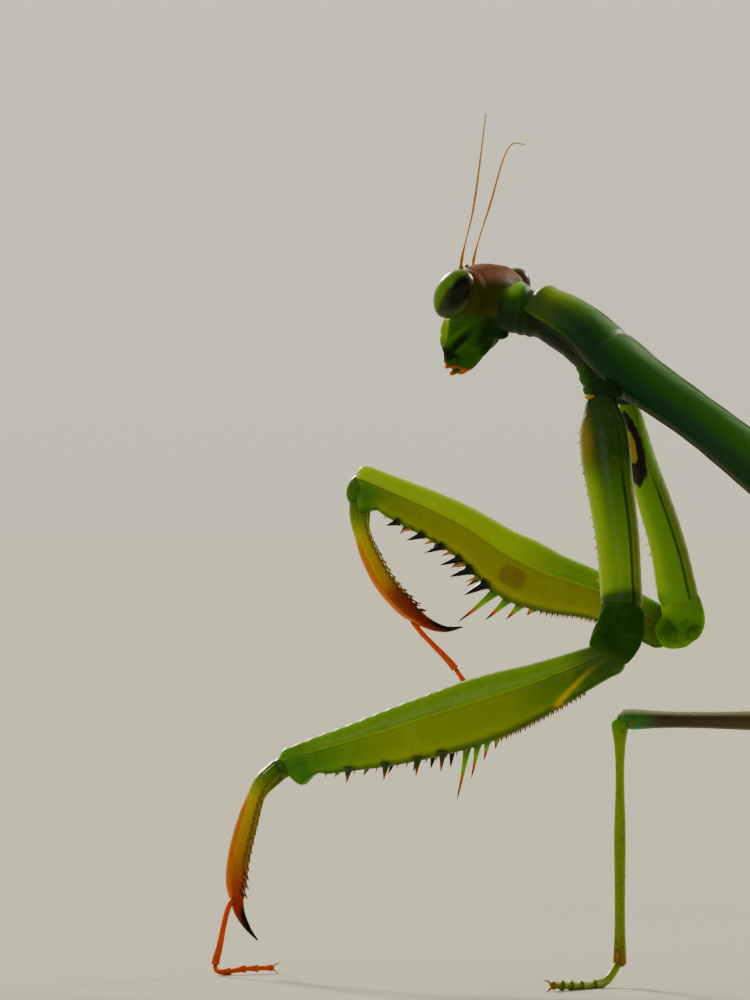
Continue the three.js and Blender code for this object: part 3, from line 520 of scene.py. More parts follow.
def compound_eye():
    """Facetted eye: a hard clear lens layer with a fine honeycomb, which shows as a soft sheen, over deep pigment. The
    facets are drawn at 0.06 mm, twice their real size, so that they show."""
    material, add = new_material("compound_eye")
    where = add("ShaderNodeTexCoord", out=3)
    streaks = add("ShaderNodeTexNoise", {"Vector": where, "Scale": 2600.0, "Detail": 3.0})
    # rim is a painted glow of light shining through the eye's edge.
    colour = coated(add, "#5c8a08", (
        (streaks, 0.45, 0.65, "#44720a", 0.5), ("shade", 0.0, 1.0, "#1f2c04", 0.92),
        ("brown", 0.0, 1.0, "#4c2c1a", 1.0), ("pupil", 0.0, 1.0, "#050504", 1.0), ("rim", 0.0, 1.0, "#6f9a14", 0.7)))
    facets = add("ShaderNodeTexVoronoi", {"Vector": where, "Scale": 16000.0, "Randomness": 0.35})
    normal = add("ShaderNodeBump", {"Height": facets, "Strength": 0.12, "Distance": 0.02 * MM}, invert=True)
    shell = add("ShaderNodeBsdfPrincipled", {
        "Base Color": colour, "Roughness": 0.3, "Normal": normal, "IOR": 1.4, "Specular IOR Level": 0.3,
        "Subsurface Weight": 0.15, "Subsurface Radius": (0.5, 0.8, 0.2), "Subsurface Scale": 0.3 * MM,
        "Coat Weight": 0.05, "Coat Roughness": 0.15})
    add("ShaderNodeOutputMaterial", {0: shell})
    return material


# Fore femur: clear yellow green faces that light shines through, a brighter upper band, and a deep green lower edge.
FEMUR_CUTICLE = cuticle(
    "femur_cuticle",
    {0.0: "#31600a", 0.14: "#5c8208", 0.3: "#8aa000", 0.62: "#94a800", 0.85: "#62960a", 1.0: "#3a720c"},
    dict(inner=("#9c9600", 0.6), upper=("#7ca80a", 0.85), patches=("#98ac00", 0.35, 0.45, 0.7),
         mottle=("#4c7400", 0.3, 0.56, 0.72), ridge=("#9ab41a", 0.35), keel=("#1c4a04", 0.95),
         stain=("#7a4600", 0.5), wedge=("#e0c414", 0.85), knee=("#4a860c", 0.7), base=("#33580e", 0.85),
         lit=("#b8d218", 0.8)),
    glow=0.85, depth_mm=1.0, roughness=0.3)
# Fore coxa: green, with an ochre flush at the front, painted shade near the body where the shield shades it, and
# painted shade in the groove behind.
# Coats of both fore coxae: front is a painted glow of light shining through the front edge, and seam is painted shade
# in the groove behind.
COXA_COATS = dict(front=("#9cc010", 0.8), mottle=("#6a8a08", 0.3, 0.6, 0.72), seam=("#143404", 0.85),
                  back=("#6a6a06", 0.6))
COXA_CUTICLE = cuticle(
    "coxa_cuticle",
    {0.0: "#1c3c06", 0.1: "#244a06", 0.3: "#2c4c04", 0.45: "#447206", 0.62: "#5c8c06", 0.88: "#80a804",
     0.96: "#74a004", 1.0: "#2e580c"},
    dict(flush=("#988200", 0.8, 0.1, 1.0), **COXA_COATS), glow=0.5, depth_mm=0.7)
# The other face of a fore coxa: the same green, with a black mark that holds a yellow middle.
COXA_EYESPOT_CUTICLE = cuticle(
    "coxa_eyespot_cuticle", {0.0: "#64900a", 0.6: "#6a9a06", 1.0: "#6a9e0a"},
    dict(**COXA_COATS, black=("#050404", 1.0), yellow=("#94820e", 1.0)), glow=0.5, depth_mm=0.6)
# Fore trochanter: a knobbly knuckle of clear green, with painted shade on the near one and round the far one's knobs.
TROCHANTER_CUTICLE = cuticle(
    "trochanter_cuticle", {0.0: "#6a9e0a", 0.4: "#649a08", 1.0: "#6c9a0a"},
    dict(front=("#9cc010", 0.8), dark=("#1c420c", 0.95), patches=("#2c5c12", 0.6, 0.5, 0.68),
         mottle=("#3a6418", 0.4, 0.6, 0.72)), glow=0.45, grain=0.15, roughness=0.75, shine=0.02)
# Shield: deep green, yellower at the front, with a greyish edge, painted light on the top, painted shade with a bluish
# sheen on the sides and painted shade on the underside.
SHIELD_CUTICLE = cuticle(
    "shield_cuticle",
    {0.0: "#5c8a08", 0.05: "#96b408", 0.1: "#5c9008", 0.15: "#2f6808", 0.3: "#246012", 0.6: "#366e16",
     1.0: "#387010"},
    dict(mottle=("#2f6610", 0.35, 0.55, 0.72), top=("#3f7a24", 0.55), bloom=("#0a2e22", 0.8),
         under=("#0c1c04", 1.0), margin=("#565640", 0.7)),
    glow=0.2, roughness=0.46, grain_mm=0.16, grain=0.1, shine=0.15)
# Head: green face and cheeks, a reddish brown crown and an orange mouth, with painted shade in the cheek hollows and
# the gape of the mouth, and painted highlights along the cheek ridges.
HEAD_CUTICLE = cuticle(
    "head_cuticle", "#2a5606",
    dict(face=("#84a808", 0.9), mottle=("#2f5c08", 0.3, 0.5, 0.72), nape=("#3c3c0e", 0.9), hollow=("#061404", 0.95),
         ridge=("#4f7c10", 0.5), crown=("#74381a", 0.95), gape=("#0e1204", 0.9), mouth=("#b8560e", 0.95)),
    glow=0.25, roughness=0.55, grain_mm=0.14, shine=0.08)
# Hinge skin: a small soft amber ring where the foreleg joins the chest.
HINGE_SKIN = cuticle("hinge_skin", "#b08a10", dict(mottle=("#d0a838", 0.6, 0.5, 0.7)), glow=0.5, roughness=0.6,
                     shine=0.08)
# Neck: soft green skin in folds, with painted shade below and in the creases, and a painted highlight on the top of its
# collar.
NECK_SKIN = cuticle(
    "neck_skin", "#26520c",
    dict(mottle=("#34681a", 0.4, 0.5, 0.7), fold=("#184a06", 0.5), under=("#0e2c04", 1.0), crest=("#84c42c", 0.85)),
    glow=0.4, roughness=0.45, shine=0.2)
# Fore tibia: green at the knee, then amber that turns orange red, with an orange back and a black claw.
TIBIA_CUTICLE = cuticle(
    "tibia_cuticle",
    {0.0: "#447008", 0.1: "#6e8a08", 0.2: "#c8b800", 0.5: "#c88c00", 0.68: "#b84400", 0.8: "#a02402",
     1.0: "#060504"},
    dict(back=("#d47000", 0.9), comb=("#5c5000", 0.6), scorch=("#7a1c02", 0.75), claw=("#080504", 1.0)),
    glow=0.7, depth_mm=0.7, roughness=0.28)
# Black spines: hard polished horn with a red-brown point.
BLACK_SPINE = cuticle("black_spine_horn", {0.0: "#1a2408", 0.2: "#0b0906", 0.8: "#0b0906", 1.0: "#4c1606"},
                      glow=0.0, roughness=0.24, grain=0.02)
# Last teeth of the comb: dark amber horn with a black point.
AMBER_SPINE = cuticle("amber_spine_horn", {0.0: "#6a2404", 0.5: "#3a1004", 1.0: "#080504"}, glow=0.2,
                      roughness=0.26, grain=0.02)
# Green spines: clear horn that turns red and then black at the point.
GREEN_SPINE = cuticle(
    "green_spine_horn", {0.0: "#2f7410", 0.4: "#86b81e", 0.64: "#c8400a", 0.82: "#3c0e06", 1.0: "#0c0806"},
    glow=0.55, depth_mm=0.3, roughness=0.22, grain=0.02)
# Short spines: dark green horn with an amber to black point.
DARK_SPINE = cuticle("dark_spine_horn", {0.0: "#2c4a0c", 0.45: "#33480c", 0.7: "#9a3c0a", 1.0: "#0c0806"},
                     glow=0.3, depth_mm=0.3, roughness=0.24, grain=0.02)
# Small spines and hairs: amber horn with a brown point.
GOLDEN_SPINE = cuticle("golden_spine_horn", {0.0: "#6a6a14", 0.4: "#b8802a", 0.75: "#8c3810", 1.0: "#2c1408"},
                       glow=0.5, depth_mm=0.3, roughness=0.26, grain=0.02)
# Foot of the foreleg: clear orange red, darker at the joints.
TARSUS_CUTICLE = cuticle("tarsus_cuticle", "#cc4600", dict(mottle=("#e06810", 0.6, 0.45, 0.7), joint=("#5c1c04", 0.8)),
                         glow=0.7, depth_mm=0.5)
# Feeler: orange brown and matt, paler to the tip.
FEELER_CUTICLE = cuticle("feeler_cuticle", {0.0: "#6a6a10", 0.06: "#c8781c", 0.6: "#d08c3c", 1.0: "#c89a68"},
                         glow=0.8, depth_mm=0.15, roughness=0.5)
# Walking leg: green at both ends and brownish between, with a painted highlight along the upper edge.
WALKING_LEG_CUTICLE = cuticle(
    "walking_leg_cuticle",
    {0.0: "#2c6a0a", 0.15: "#3f6a10", 0.45: "#4c3e0e", 0.86: "#3a240a", 0.94: "#1f720a", 1.0: "#1f720a"},
    dict(mottle=("#283c06", 0.4, 0.55, 0.7), top=("#c0ba90", 0.75)), glow=0.35, roughness=0.3, shine=0.7)
# Shin and foot of a walking leg: yellow green, clear green at the knee and browner at the far end.
SHIN_CUTICLE = cuticle("shin_cuticle", {0.0: "#4a8c10", 0.1: "#88a014", 0.85: "#829818", 1.0: "#8a6814"},
                       dict(mottle=("#305a08", 0.4, 0.55, 0.7), joint=("#4c3c10", 0.6)), glow=0.5)
# Belly: green skin, yellower below, with a darker rear edge on every segment and small dark breathing holes.
BELLY_CUTICLE = cuticle(
    "belly_cuticle", "#4f8210",
    dict(upper=("#3a7010", 0.8), under=("#7a9428", 0.8), mottle=("#5f8c1c", 0.4, 0.5, 0.7), edge=("#2a5408", 0.8)),
    glow=0.35, depth_mm=0.7, roughness=0.44)
# Chest: green plates, with painted shade in the seams between them.
CHEST_CUTICLE = cuticle(
    "chest_cuticle", "#367008",
    dict(mottle=("#4c8418", 0.5, 0.5, 0.7), under=("#4f7c18", 0.7), seam=("#1f4c08", 0.7)), glow=0.3, roughness=0.42)
WING_LEATHER = wing_leather()
COMPOUND_EYE = compound_eye()


# ---------------------------------------------------------------- head

def melted(skins, voxel, passes):
    """One smooth skin round all of these, in millimetres: its points, faces and normals."""
    points, faces = merged(skins)
    mesh = bpy.data.meshes.new("melting")
    mesh.from_pydata(points.tolist(), [], faces)
    mesh.validate()
    shape = add_object("melting", mesh)
    remesh = shape.modifiers.new("remesh", "REMESH")
    remesh.mode, remesh.voxel_size = "VOXEL", voxel
    smooth = shape.modifiers.new("smooth", "SMOOTH")
    smooth.factor, smooth.iterations = 0.5, passes
    result = bpy.data.meshes.new_from_object(shape.evaluated_get(bpy.context.evaluated_depsgraph_get()))
    verts, normals = np.empty(len(result.vertices) * 3), np.empty(len(result.vertices) * 3)
    result.vertices.foreach_get("co", verts)
    result.vertex_normals.foreach_get("vector", normals)
    quads = np.array([p.vertices[:] for p in result.polygons])
    bpy.data.objects.remove(shape)
    return verts.reshape(-1, 3), quads, normals.reshape(-1, 3)


NECK_LINE = smooth_line([on_head(-0.4, 0, -0.35), on_head(-1.1, 0, -0.15), SHIELD_LINE[0] + at(0.9, 0, -0.6)])


def on_head_axes(verts):
    """How far forwards, rightwards and upwards each point lies from the head's centre."""
    return ((verts - HEAD_CENTRE) @ HEAD_AXES.T).T


def head_marks(verts):
    f, r, u = on_head_axes(verts)
    slope = u + 1.36 * f + 2.1  # height over a line that runs from the nape down to the mouth
    cheek = fade(np.abs(r), 0.25, 0.6)
    return {
        "face": fade(f, 0.25, 0.8),
        "crown": fade(u + 0.3 * f, 0.35, 1.0),
        "nape": fade(-f, -0.1, 0.5) * fade(u, -1.5, 0.0) * fade(-f, 2.0, 1.3),
        # Painted shade in the cheek hollow and low on the back of the head.
        "hollow": np.maximum(bump(slope, -0.4, 0.3) * bump(f, -0.2, 0.5) * cheek,
                             0.7 * fade(-f, 0.8, 1.2) * fade(-u, 0.3, 0.8)),
        # A painted highlight along the cheek ridges.
        "ridge": (bump(slope, 0.12, 0.2) + 0.7 * bump(slope, -0.82, 0.13)) * cheek * fade(f, -0.9, -0.3),
        # Painted shade in the gap between the mouthparts.
        "gape": bump(u, -3.05, 0.36) * fade(f, -0.6, 0.0),
        "mouth": fade(-u, 3.25, 3.55),
    }


def head_skin():
    skull = [on_head(-0.15, 0, CROWN), on_head(0, 0, 0), on_head(0.05, 0, -2), on_head(0.05, 0, MOUTH)]
    sizes = [(0, 0.72, 1.4), (0.12, 1.04, 1.94), (0.26, 1.18, 1.94), (0.42, 1.2, 1.6), (0.58, 1.14, 1.2),
             (0.75, 0.98, 0.92), (0.9, 0.74, 0.68), (1, 0.5, 0.45)]
    parts = [Limb(skull, sizes, lean=HEAD_AXES[0]).surface(rings=60, sides=64, blunt=(0.45, 0.4))]
    parts += [head_egg(centre, radii) for centre, radii in (
        ((0.86, 0, -1.95), (0.46, 0.8, 1.25)),  # face
        ((-0.72, 0, -0.35), (0.62, 1.1, 0.95)),  # nape
        ((-0.6, 0, -1.85), (0.72, 0.6, 0.98)),  # chin
        ((-1.3, 0, -1.28), (0.62, 0.6, 0.42)))]  # throat
    beam = [on_head(-0.08, -1.75, 0.0), on_head(-0.08, 0, 0.08), on_head(-0.08, 1.75, 0.02)]
    parts.append(Limb(beam, [(0, 1.12, 0.92), (0.5, 1.14, 0.95), (1, 1.12, 0.92)], lean=HEAD_AXES[2]).surface(
        sides=64, blunt=(0.7, 0.7)))
    parts.append(Limb(NECK_LINE[:200:33], [(0, 0.9, 0.95), (0.5, 1.0, 1.05), (1, 0.93, 0.98)]).surface(
        rings=40, sides=64, blunt=(0.2, 0.12), relief=lambda s, a: 0.18 * fade(-np.cos(a), 0.3, 0.9)))
    for side in (-1, 1):
        parts += [head_egg((f, side * r, u), radii) for f, r, u, radii in (
            (-0.5, 0.5, -1.5, (0.75, 0.68, 1.02)),  # cheek
            (0.16, 0.56, -2.8, (0.52, 0.3, 0.85)),  # jaw
            (1.0, 0.45, 0.45, (0.26, 0.2, 0.2)))]  # socket of the feeler
        eye_socket = (-0.02, side * 1.56, -0.06 - EYE_DROP[side])
        parts.append(head_egg(eye_socket, (0.96, 0.92, 1.18), tilt=EYE_TILT))
    verts, quads, normals = melted(parts, voxel=0.045, passes=110)
    f, r, u = on_head_axes(verts)
    marks = head_marks(verts)
    sutures = (0.07 * bump(u, -1.48, 0.05) * fade(f, 0.2, 0.6) + 0.06 * bump(u, -2.5, 0.05) * fade(f, 0.0, 0.4)
               + 0.05 * bump(f - 0.25 * (u + 3), -0.1, 0.06) * fade(u, -2.0, -2.4)
               + 0.008 * bump(r, 0, 0.05) * fade(u, 0.3, 0.9))
    pits = 0.012 * np.sin(f * 17 + 2 * np.sin(u * 9)) * np.sin(u * 15 + 3 * np.sin(r * 7)) * np.sin(r * 13)
    raised = (0.05 * marks["ridge"] - 0.13 * marks["hollow"] - sutures
              + pits * fade(np.abs(r), 2.3, 1.6) * fade(u, 0, -0.6))
    return Skin(verts + normals * raised[:, None], [quads], **marks)


def palp(side, root, bend, tip):
    """A short jointed feeler beside the mouth."""
    line = [on_head(f, side * r, u) for f, r, u in (root, bend, tip)]
    limb = Limb(line, [(0, 0.1, 0.1), (0.3, 0.12, 0.12), (0.9, 0.1, 0.1), (1, 0.07, 0.07)], lean=HEAD_AXES[1])
    segments = 3
    skin = limb.surface(rings=40, sides=14, blunt=(0.08, 0.1),
                        relief=lambda s, a: -0.03 * bump((s * segments) % 1, 0.98, 0.08))
    return skin.paint(mouth=fade(skin["along"], 0.5, 0.95))


def build_head():
    piece = Piece(HEAD_CUTICLE).add(head_skin())
    lip = head_egg((0.44, 0, -3.1), (0.32, 0.46, 0.66))
    piece.add(lip.paint(**head_marks(lip.points)))
    for side in (-1, 1):
        piece.add(palp(side, (-0.3, 0.5, -2.7), (-0.05, 0.72, -3.25), (0.3, 0.55, -3.7)))
        piece.add(palp(side, (-0.35, 0.25, -3.0), (-0.2, 0.36, -3.55), (0.12, 0.3, -3.95)))
    for simple_eye in ((1.2, 0, 0.5), (1.1, -0.24, 0.74), (1.1, 0.24, 0.74)):
        piece.add(head_egg(simple_eye, (0.1, 0.09, 0.09), columns=24, rows=14), GOLDEN_SPINE)
    piece.make("head", "head_cuticle")


def build_eye(name, side):
    centre = (0.1, side * EYE_SPREAD, -EYE_DROP[side])
    skin = head_egg(centre, EYE_RADII, tilt=EYE_TILT, columns=150, rows=110)
    ball = skin["ball"] * at(1, side, 1)
    f, r, u = ball.T
    slim = 0.12 * fade(-u, 0.1, 0.9)
    depth = (skin.points - on_head(0.3, *centre[1:])) @ HEAD_AXES[0]
    skin.points = skin.points - slim[:, None] * depth[:, None] * HEAD_AXES[0]
    tall, wide = ball @ at(0.21, -0.393, 0.895), ball @ at(0.724, 0.675, 0.127)  # along the dark bar, and across it
    # rim paints a glow of light shining through the eye's edge.
    skin.paint(
        pupil=fade(oval(tall, wide, (0, 0), (0.74, 0.5)), 1.35, 0.45) * fade(f, 0.4, 0.1),
        shade=fade(oval(tall, wide, (-0.22, -0.06), (1, 0.72)), 1.3, 0.6) * fade(f, 0.5, 0.1),
        brown=np.maximum(fade(-wide, 0.55, 0.75) * fade(u, -0.2, 0.3),
                         fade(-r, -0.35, 0.1) * fade(u, -0.4, 0.1) * fade(-f, -0.5, -0.1)),
        rim=fade(r, 0.42, 0.3) * fade(f, 0.0, 0.4))
    Piece(COMPOUND_EYE).add(skin).make(f"eye_{name}", "compound_eye")


def build_feeler(name, side):
    tips = {"left": [(-5.94, -1.0, 32.85), (-5.2, -1.5, 36.87)],
            "right": [(-6.4, 2.46, 33.05), (-6.0, 4.2, 35.75), (-5.55, 4.85, 35.75)]}
    line = [on_head(1.0, side * 0.45, 0.45), on_head(1.22, side * 0.46, 0.62), *tips[name]]
    radii = [(0, 0.1), (0.045, 0.1), (0.06, 0.07), (0.09, 0.078), (0.11, 0.068), (0.5, 0.058), (1, 0.036)]
    limb = Limb(line, [(share, radius, radius) for share, radius in radii], lean=TAILWARDS)
    rings = 62
    skin = limb.surface(rings=520, sides=12, blunt=(0.05, 0.1),
                        relief=lambda s, a: -0.014 * bump((s * rings) % 1, 0.5, 0.16))
    Piece(FEELER_CUTICLE).add(skin).make(f"antenna_{name}", "antenna_cuticle")


def build_neck():
    limb = Limb(NECK_LINE, [(0, 0.55, 0.6), (0.15, 0.8, 0.85), (0.3, 0.95, 1.0), (0.75, 0.98, 1.08), (1, 0.85, 1.0)])

    def folds(share, angle):
        high = np.cos(angle)
        collar = 0.2 * bump(share, 0.44, 0.1) * fade(high, -0.2, 0.8)
        crease = 0.03 * bump(share, 0.66, 0.06) * fade(high, 0, 0.8)
        throat = 0.2 * fade(share, 0.55, 0.1) * fade(-high, 0.3, 0.9)
        return collar - crease + throat + 0.02 * np.sin(share * 46 + high * 2) * fade(share, 0.2, 0.6)

    skin = limb.surface(rings=110, sides=72, blunt=(0.2, 0.2), relief=folds)
    along, high = skin["along"], skin["high"]
    # Painted shade below and in the creases, and a painted highlight on the top of the collar.
    skin.paint(under=fade(-high + 0.5 * fade(along, 0.42, 0.2), -0.6, 0.5),
               fold=np.clip(bump(along, 0.66, 0.05) + bump(along, 0.16, 0.06), 0, 1),
               crest=bump(along, 0.43, 0.1) * fade(high, 0.25, 0.8))
    Piece(NECK_SKIN).add(skin).make("neck", "shield_cuticle")


# ---------------------------------------------------------------- trunk

def folded(angle):
    """The angle round a limb from its upper side, alike on both sides."""
    return np.abs((angle + math.pi) % (2 * math.pi) - math.pi)


def build_shield():
    length, tooth_pitch = 20.6, 0.3
    limb = Limb(SHIELD_LINE, [(0, 1.04, 1.15), (0.05, 1.22, 1.45), (0.15, 1.3, 1.8), (0.225, 1.32, 2.0),
                              (0.31, 1.16, 1.7), (0.42, 1.09, 1.4), (0.55, 1.14, 1.38), (0.7, 1.25, 1.5),
                              (0.85, 1.38, 1.72), (0.95, 1.46, 1.9), (1, 1.42, 1.82)])

    def margin(share):
        """The angle at which the shield's edge runs."""
        return 1.62 + 0.55 * fade(share, 0.12, 0.34)

    def relief(share, angle):
        turn = folded(angle)
        edge = bump(turn, margin(share), 0.07)
        teeth = (0.03 + 0.07 * fade(share, 0.42, 0.3)) * np.abs(np.sin(share * length / tooth_pitch * math.pi)) ** 3
        tucked = -0.14 * fade(turn, margin(share) + 0.05, margin(share) + 0.35)
        furrow = -0.08 * bump(share, 0.205 - 0.016 * (1 - np.cos(turn)), 0.008) * fade(turn, 2.0, 1.6)
        bulge = (0.05 * bump(share, 0.255, 0.03) * bump(turn, 0.7, 0.35)
                 + 0.04 * bump(share, 0.15, 0.03) * bump(turn, 0.6, 0.4))
        keel = 0.05 * bump(turn, 0, 0.07) * (fade(share, 0.2, 0.26) - fade(share, 0.2, 0.14))
        rim = 0.07 * bump(share, 0.02, 0.012) * fade(turn, 2.4, 1.8)
        dents = 0.01 * np.sin(share * 60 + 5 * np.sin(turn * 3)) * np.sin(turn * 6 + share * 25)
        return 0.09 * edge + teeth * bump(turn, margin(share), 0.05) + tucked + furrow + bulge + keel + rim + dents

    skin = limb.surface(rings=460, sides=144, blunt=(0.5, 0.35), overrun=(0.16, 0), relief=relief)
    along, turn = skin["along"], np.arccos(np.clip(skin["high"], -1, 1))
    edge = margin(along)
    # Painted light on the top, painted shade with a bluish sheen on the sides, and painted shade on the underside.
    skin.paint(margin=bump(turn, edge, 0.09) * fade(along, 0.1, 0.22), under=fade(turn, edge - 0.02, edge + 0.16),
               top=fade(turn, 1.0, 0.2) * fade(along, 0.08, 0.16),
               bloom=bump(turn, edge - 0.3, 0.7) * fade(along, -0.03, 0.02))
    Piece(SHIELD_CUTICLE).add(skin).make("prothorax", "shield_cuticle")


def build_chest():
    limb = Limb(WING_CHEST_LINE, [(0, 1.85, 1.7), (0.2, 2.2, 2.3), (0.6, 2.4, 2.9), (1, 2.25, 2.55)])

    def seams(share, angle):
        turn = folded(angle)
        across = sum(bump(share, place + 0.03 * np.cos(angle), 0.009) for place in (0.1, 0.36, 0.5, 0.78))
        slanting = sum(bump(share - 0.16 * (turn - 1.5), place, 0.009) for place in (0.24, 0.64)) * bump(turn, 1.6, 0.5)
        lengthwise = bump(turn, 1.05 + 0.1 * np.sin(share * 9), 0.025) + bump(turn, 2.35, 0.025)
        return np.clip(across + slanting + lengthwise, 0, 1)

    skin = limb.surface(rings=260, sides=120, blunt=(0.6, 0.35), overrun=(0, 0.75),
                        relief=lambda s, a: -0.12 * seams(s, a) + 0.03 * np.sin(s * 40) * np.sin(a * 4))
    # Painted shade in the seam grooves between the plates.
    skin.paint(seam=seams(skin["along"], skin["angle"]), under=fade(-skin["high"], 0, 0.8))
    piece = Piece(CHEST_CUTICLE).add(skin)
    for hip, *_ in WALKING_LEGS.values():
        outwards = math.copysign(1, hip[1])
        socket, shoulder = hip + at(0, outwards * -0.15, 0.35), at(hip[0] - 1.3, outwards * 1.55, 17.0)
        piece.add(egg(socket, [(1.55, 0, 0.15), (0, 0.95, outwards * -0.5), (0, 0.5, 0.85)]))
        piece.add(egg(shoulder, [(1.9, 0, 0.05), (0, 0.85, outwards * -0.35), (0, 0.3, 0.75)]))
    piece.make("pterothorax", "belly_cuticle")


def build_abdomen():
    segments = 9
    limb = Limb(ABDOMEN_LINE, [(0, 2.1, 2.4), (0.15, 2.45, 3.3), (0.4, 2.6, 4.1), (0.65, 2.35, 3.9), (0.85, 1.7, 2.7),
                               (1, 0.9, 1.3)])

    def within(share):
        """How far along its own segment each place lies."""
        return (np.clip(share, 0, 0.9999) * segments) % 1

    def relief(share, angle):
        turn, place = folded(angle), within(share)
        overlap = 0.16 * place ** 1.6 - 0.12 + 0.03 * bump(place, 0.96, 0.03)
        side_fold = -0.16 * bump(turn, 1.72, 0.07) + 0.05 * bump(turn, 1.5, 0.09)
        return overlap + side_fold + 0.014 * np.sin(share * 420 + np.sin(turn * 9)) * bump(turn, 1.8, 0.35)

    skin = limb.surface(rings=430, sides=110, blunt=(0.5, 0.5), overrun=(0.7, 0), relief=relief)
    place, high = within(skin["along"]), skin["high"]
    breathing_hole = bump(place, 0.3, 0.06) * bump(high, -0.05, 0.045)
    skin.paint(edge=np.clip(fade(place, 0.84, 0.97) * 0.7 + bump(place, 0.02, 0.03) + breathing_hole, 0, 1),
               under=fade(-high, 0.2, 0.8), upper=fade(high, 0.3, 0.9))
    piece = Piece(BELLY_CUTICLE).add(skin)
    end = limb.place(1.0, 0, 0)[0]
    for side in (-1, 1):
        line = [end + at(x, side * y, z) for x, y, z in ((-0.6, 0.28, -0.5), (0.5, 0.22, -0.55), (1.2, 0.12, -0.35))]
        valve = Limb(line, [(0, 0.3, 0.22), (0.6, 0.24, 0.17), (1, 0.1, 0.08)])
        piece.add(valve.surface(rings=30, sides=20, blunt=(0.1, 0.1)))
    piece.make("abdomen", "belly_cuticle")


def build_cercus(name, side):
    segments = 11
    limb = Limb([p * at(1, side, 1) for p in CERCUS_LINE], [(0, 0.3, 0.34), (0.5, 0.33, 0.36), (1, 0.1, 0.1)])
    piece = Piece(BELLY_CUTICLE).add(limb.surface(
        rings=150, sides=28, blunt=(0.15, 0.15), relief=lambda s, a: 0.035 * np.sqrt((s * segments) % 1 + 0.01) - 0.03))
    add_bristles(piece, limb, count=24, length=0.35, radius=0.016)
    piece.make(f"cercus_{name}", "belly_cuticle")


# ---------------------------------------------------------------- forewings

def wing_middle(side, along, across):
    """The wing's middle surface; the left wing lies close over the right one."""
    front, back = smooth_values(WING_FRONT_EDGE, along)[..., 0], smooth_values(WING_BACK_EDGE, along)[..., 0]
    y = front + (back - front) * across
    fall = WING_FALL * (np.abs(y) / WING_HALF_WIDTH) ** 2.4
    lift = 0.12 + (WING_LAP * fade(y, -4.9, -3.3) if side < 0 else 0)
    return np.stack([WING_ROOT_X + (WING_TIP_X - WING_ROOT_X) * along, -side * y,
                     smooth_values(WING_CROWN, along)[..., 0] - fall + lift], axis=-1)


# Veins that run the wing's length: place across the root, how far they spread, strength.
MAIN_VEINS = [(0.05, 0.03, 1.0), (0.13, 0.08, 1.0), (0.2, 0.14, 0.8), (0.3, 0.14, 0.7), (0.42, 0.1, 0.7),
              (0.55, 0.06, 0.7), (0.68, 0.02, 0.6), (0.84, -0.06, 0.6)]
# Branches: place across, how far they spread, and the share of the length at which they start.
BRANCH_VEINS = [(0.3, 0.22, 0.25), (0.36, 0.2, 0.45), (0.5, 0.16, 0.35), (0.62, 0.1, 0.5), (0.74, 0.05, 0.3),
                (0.2, 0.22, 0.4), (0.24, 0.3, 0.6)]


def wing_veins(along, across):
    """How far each place lies on a vein: long ones that fan from the root, and fine ones that cross between them."""
    fan = across + 0.05 * np.sin(along * 3.0)
    main = sum(strength * bump(fan, place + spread * along, 0.009 + 0.004 * (1 - along))
               for place, spread, strength in MAIN_VEINS)
    branches = sum(0.55 * bump(fan, place + spread * np.clip(along - start, 0, 1), 0.007)
                   * fade(along, start, start + 0.02) for place, spread, start in BRANCH_VEINS)
    cross = 0.2 * bump((along * 70 + 3.5 * np.sin(across * 19)) % 1, 0.5, 0.09) * fade(across, 0.02, 0.12)
    return np.clip(main + branches + cross, 0, 1)


def build_forewing(name, side):
    rows, columns, half_thick = 400, 110, 0.07
    along, across = np.meshgrid(np.linspace(0, 1, rows), np.linspace(0, 1, columns), indexing="ij")
    middle = wing_middle(side, along, across)
    normal = unit(np.cross(np.gradient(middle, axis=0), np.gradient(middle, axis=1)))
    normal *= np.sign(normal[..., 2:3])
    vein = wing_veins(along, across)
    ripple = 0.02 * np.sin(along * 90 + across * 8) * np.sin(across * 26)
    upper = middle + normal * (half_thick + 0.1 * vein + ripple)[..., None]
    lower = middle + normal * (-half_thick + 0.05 * vein + ripple)[..., None]
    count = rows * columns
    rim = np.concatenate([np.arange(columns), np.arange(1, rows) * columns + columns - 1,
                          (rows - 1) * columns + np.arange(columns - 2, -1, -1), np.arange(rows - 2, 0, -1) * columns])
    beside = np.roll(rim, -1)
    top, edge = grid_faces(rows, columns), np.stack([rim, beside, beside + count, rim + count], axis=1)
    if side > 0:
        top, edge = top[:, ::-1], edge[:, ::-1]
    sheet_length, sheet_width = WING_SHEET
    marks = {"length": along * sheet_length, "width": across * sheet_width, "vein": vein}
    skin = Skin(np.vstack([upper.reshape(-1, 3), lower.reshape(-1, 3)]), [top[:, ::-1], top + count, edge[:, ::-1]],
                **{mark: np.tile(values.ravel(), 2) for mark, values in marks.items()})
    Piece(WING_LEATHER).add(skin).make(f"forewing_{name}", "wing_membrane")


# ---------------------------------------------------------------- hairs and feet

def add_bristles(piece, limb, count, length, radius):
    """Short hairs scattered over a limb, all but near the floor."""
    clear_of_floor = 0.3
    for share in RANDOM.uniform(0.04, 0.96, count):
        turn = RANDOM.uniform(-2.2, 2.2)
        root, along, high, wide = limb.place(share, 0.95 * math.cos(turn), 0.95 * math.sin(turn))
        if root[2] > clear_of_floor:
            out = high * math.cos(turn) + wide * math.sin(turn)
            piece.add(thorn(root, out + along * 0.9, length * RANDOM.uniform(0.7, 1.3), radius, sides=5), GOLDEN_SPINE)


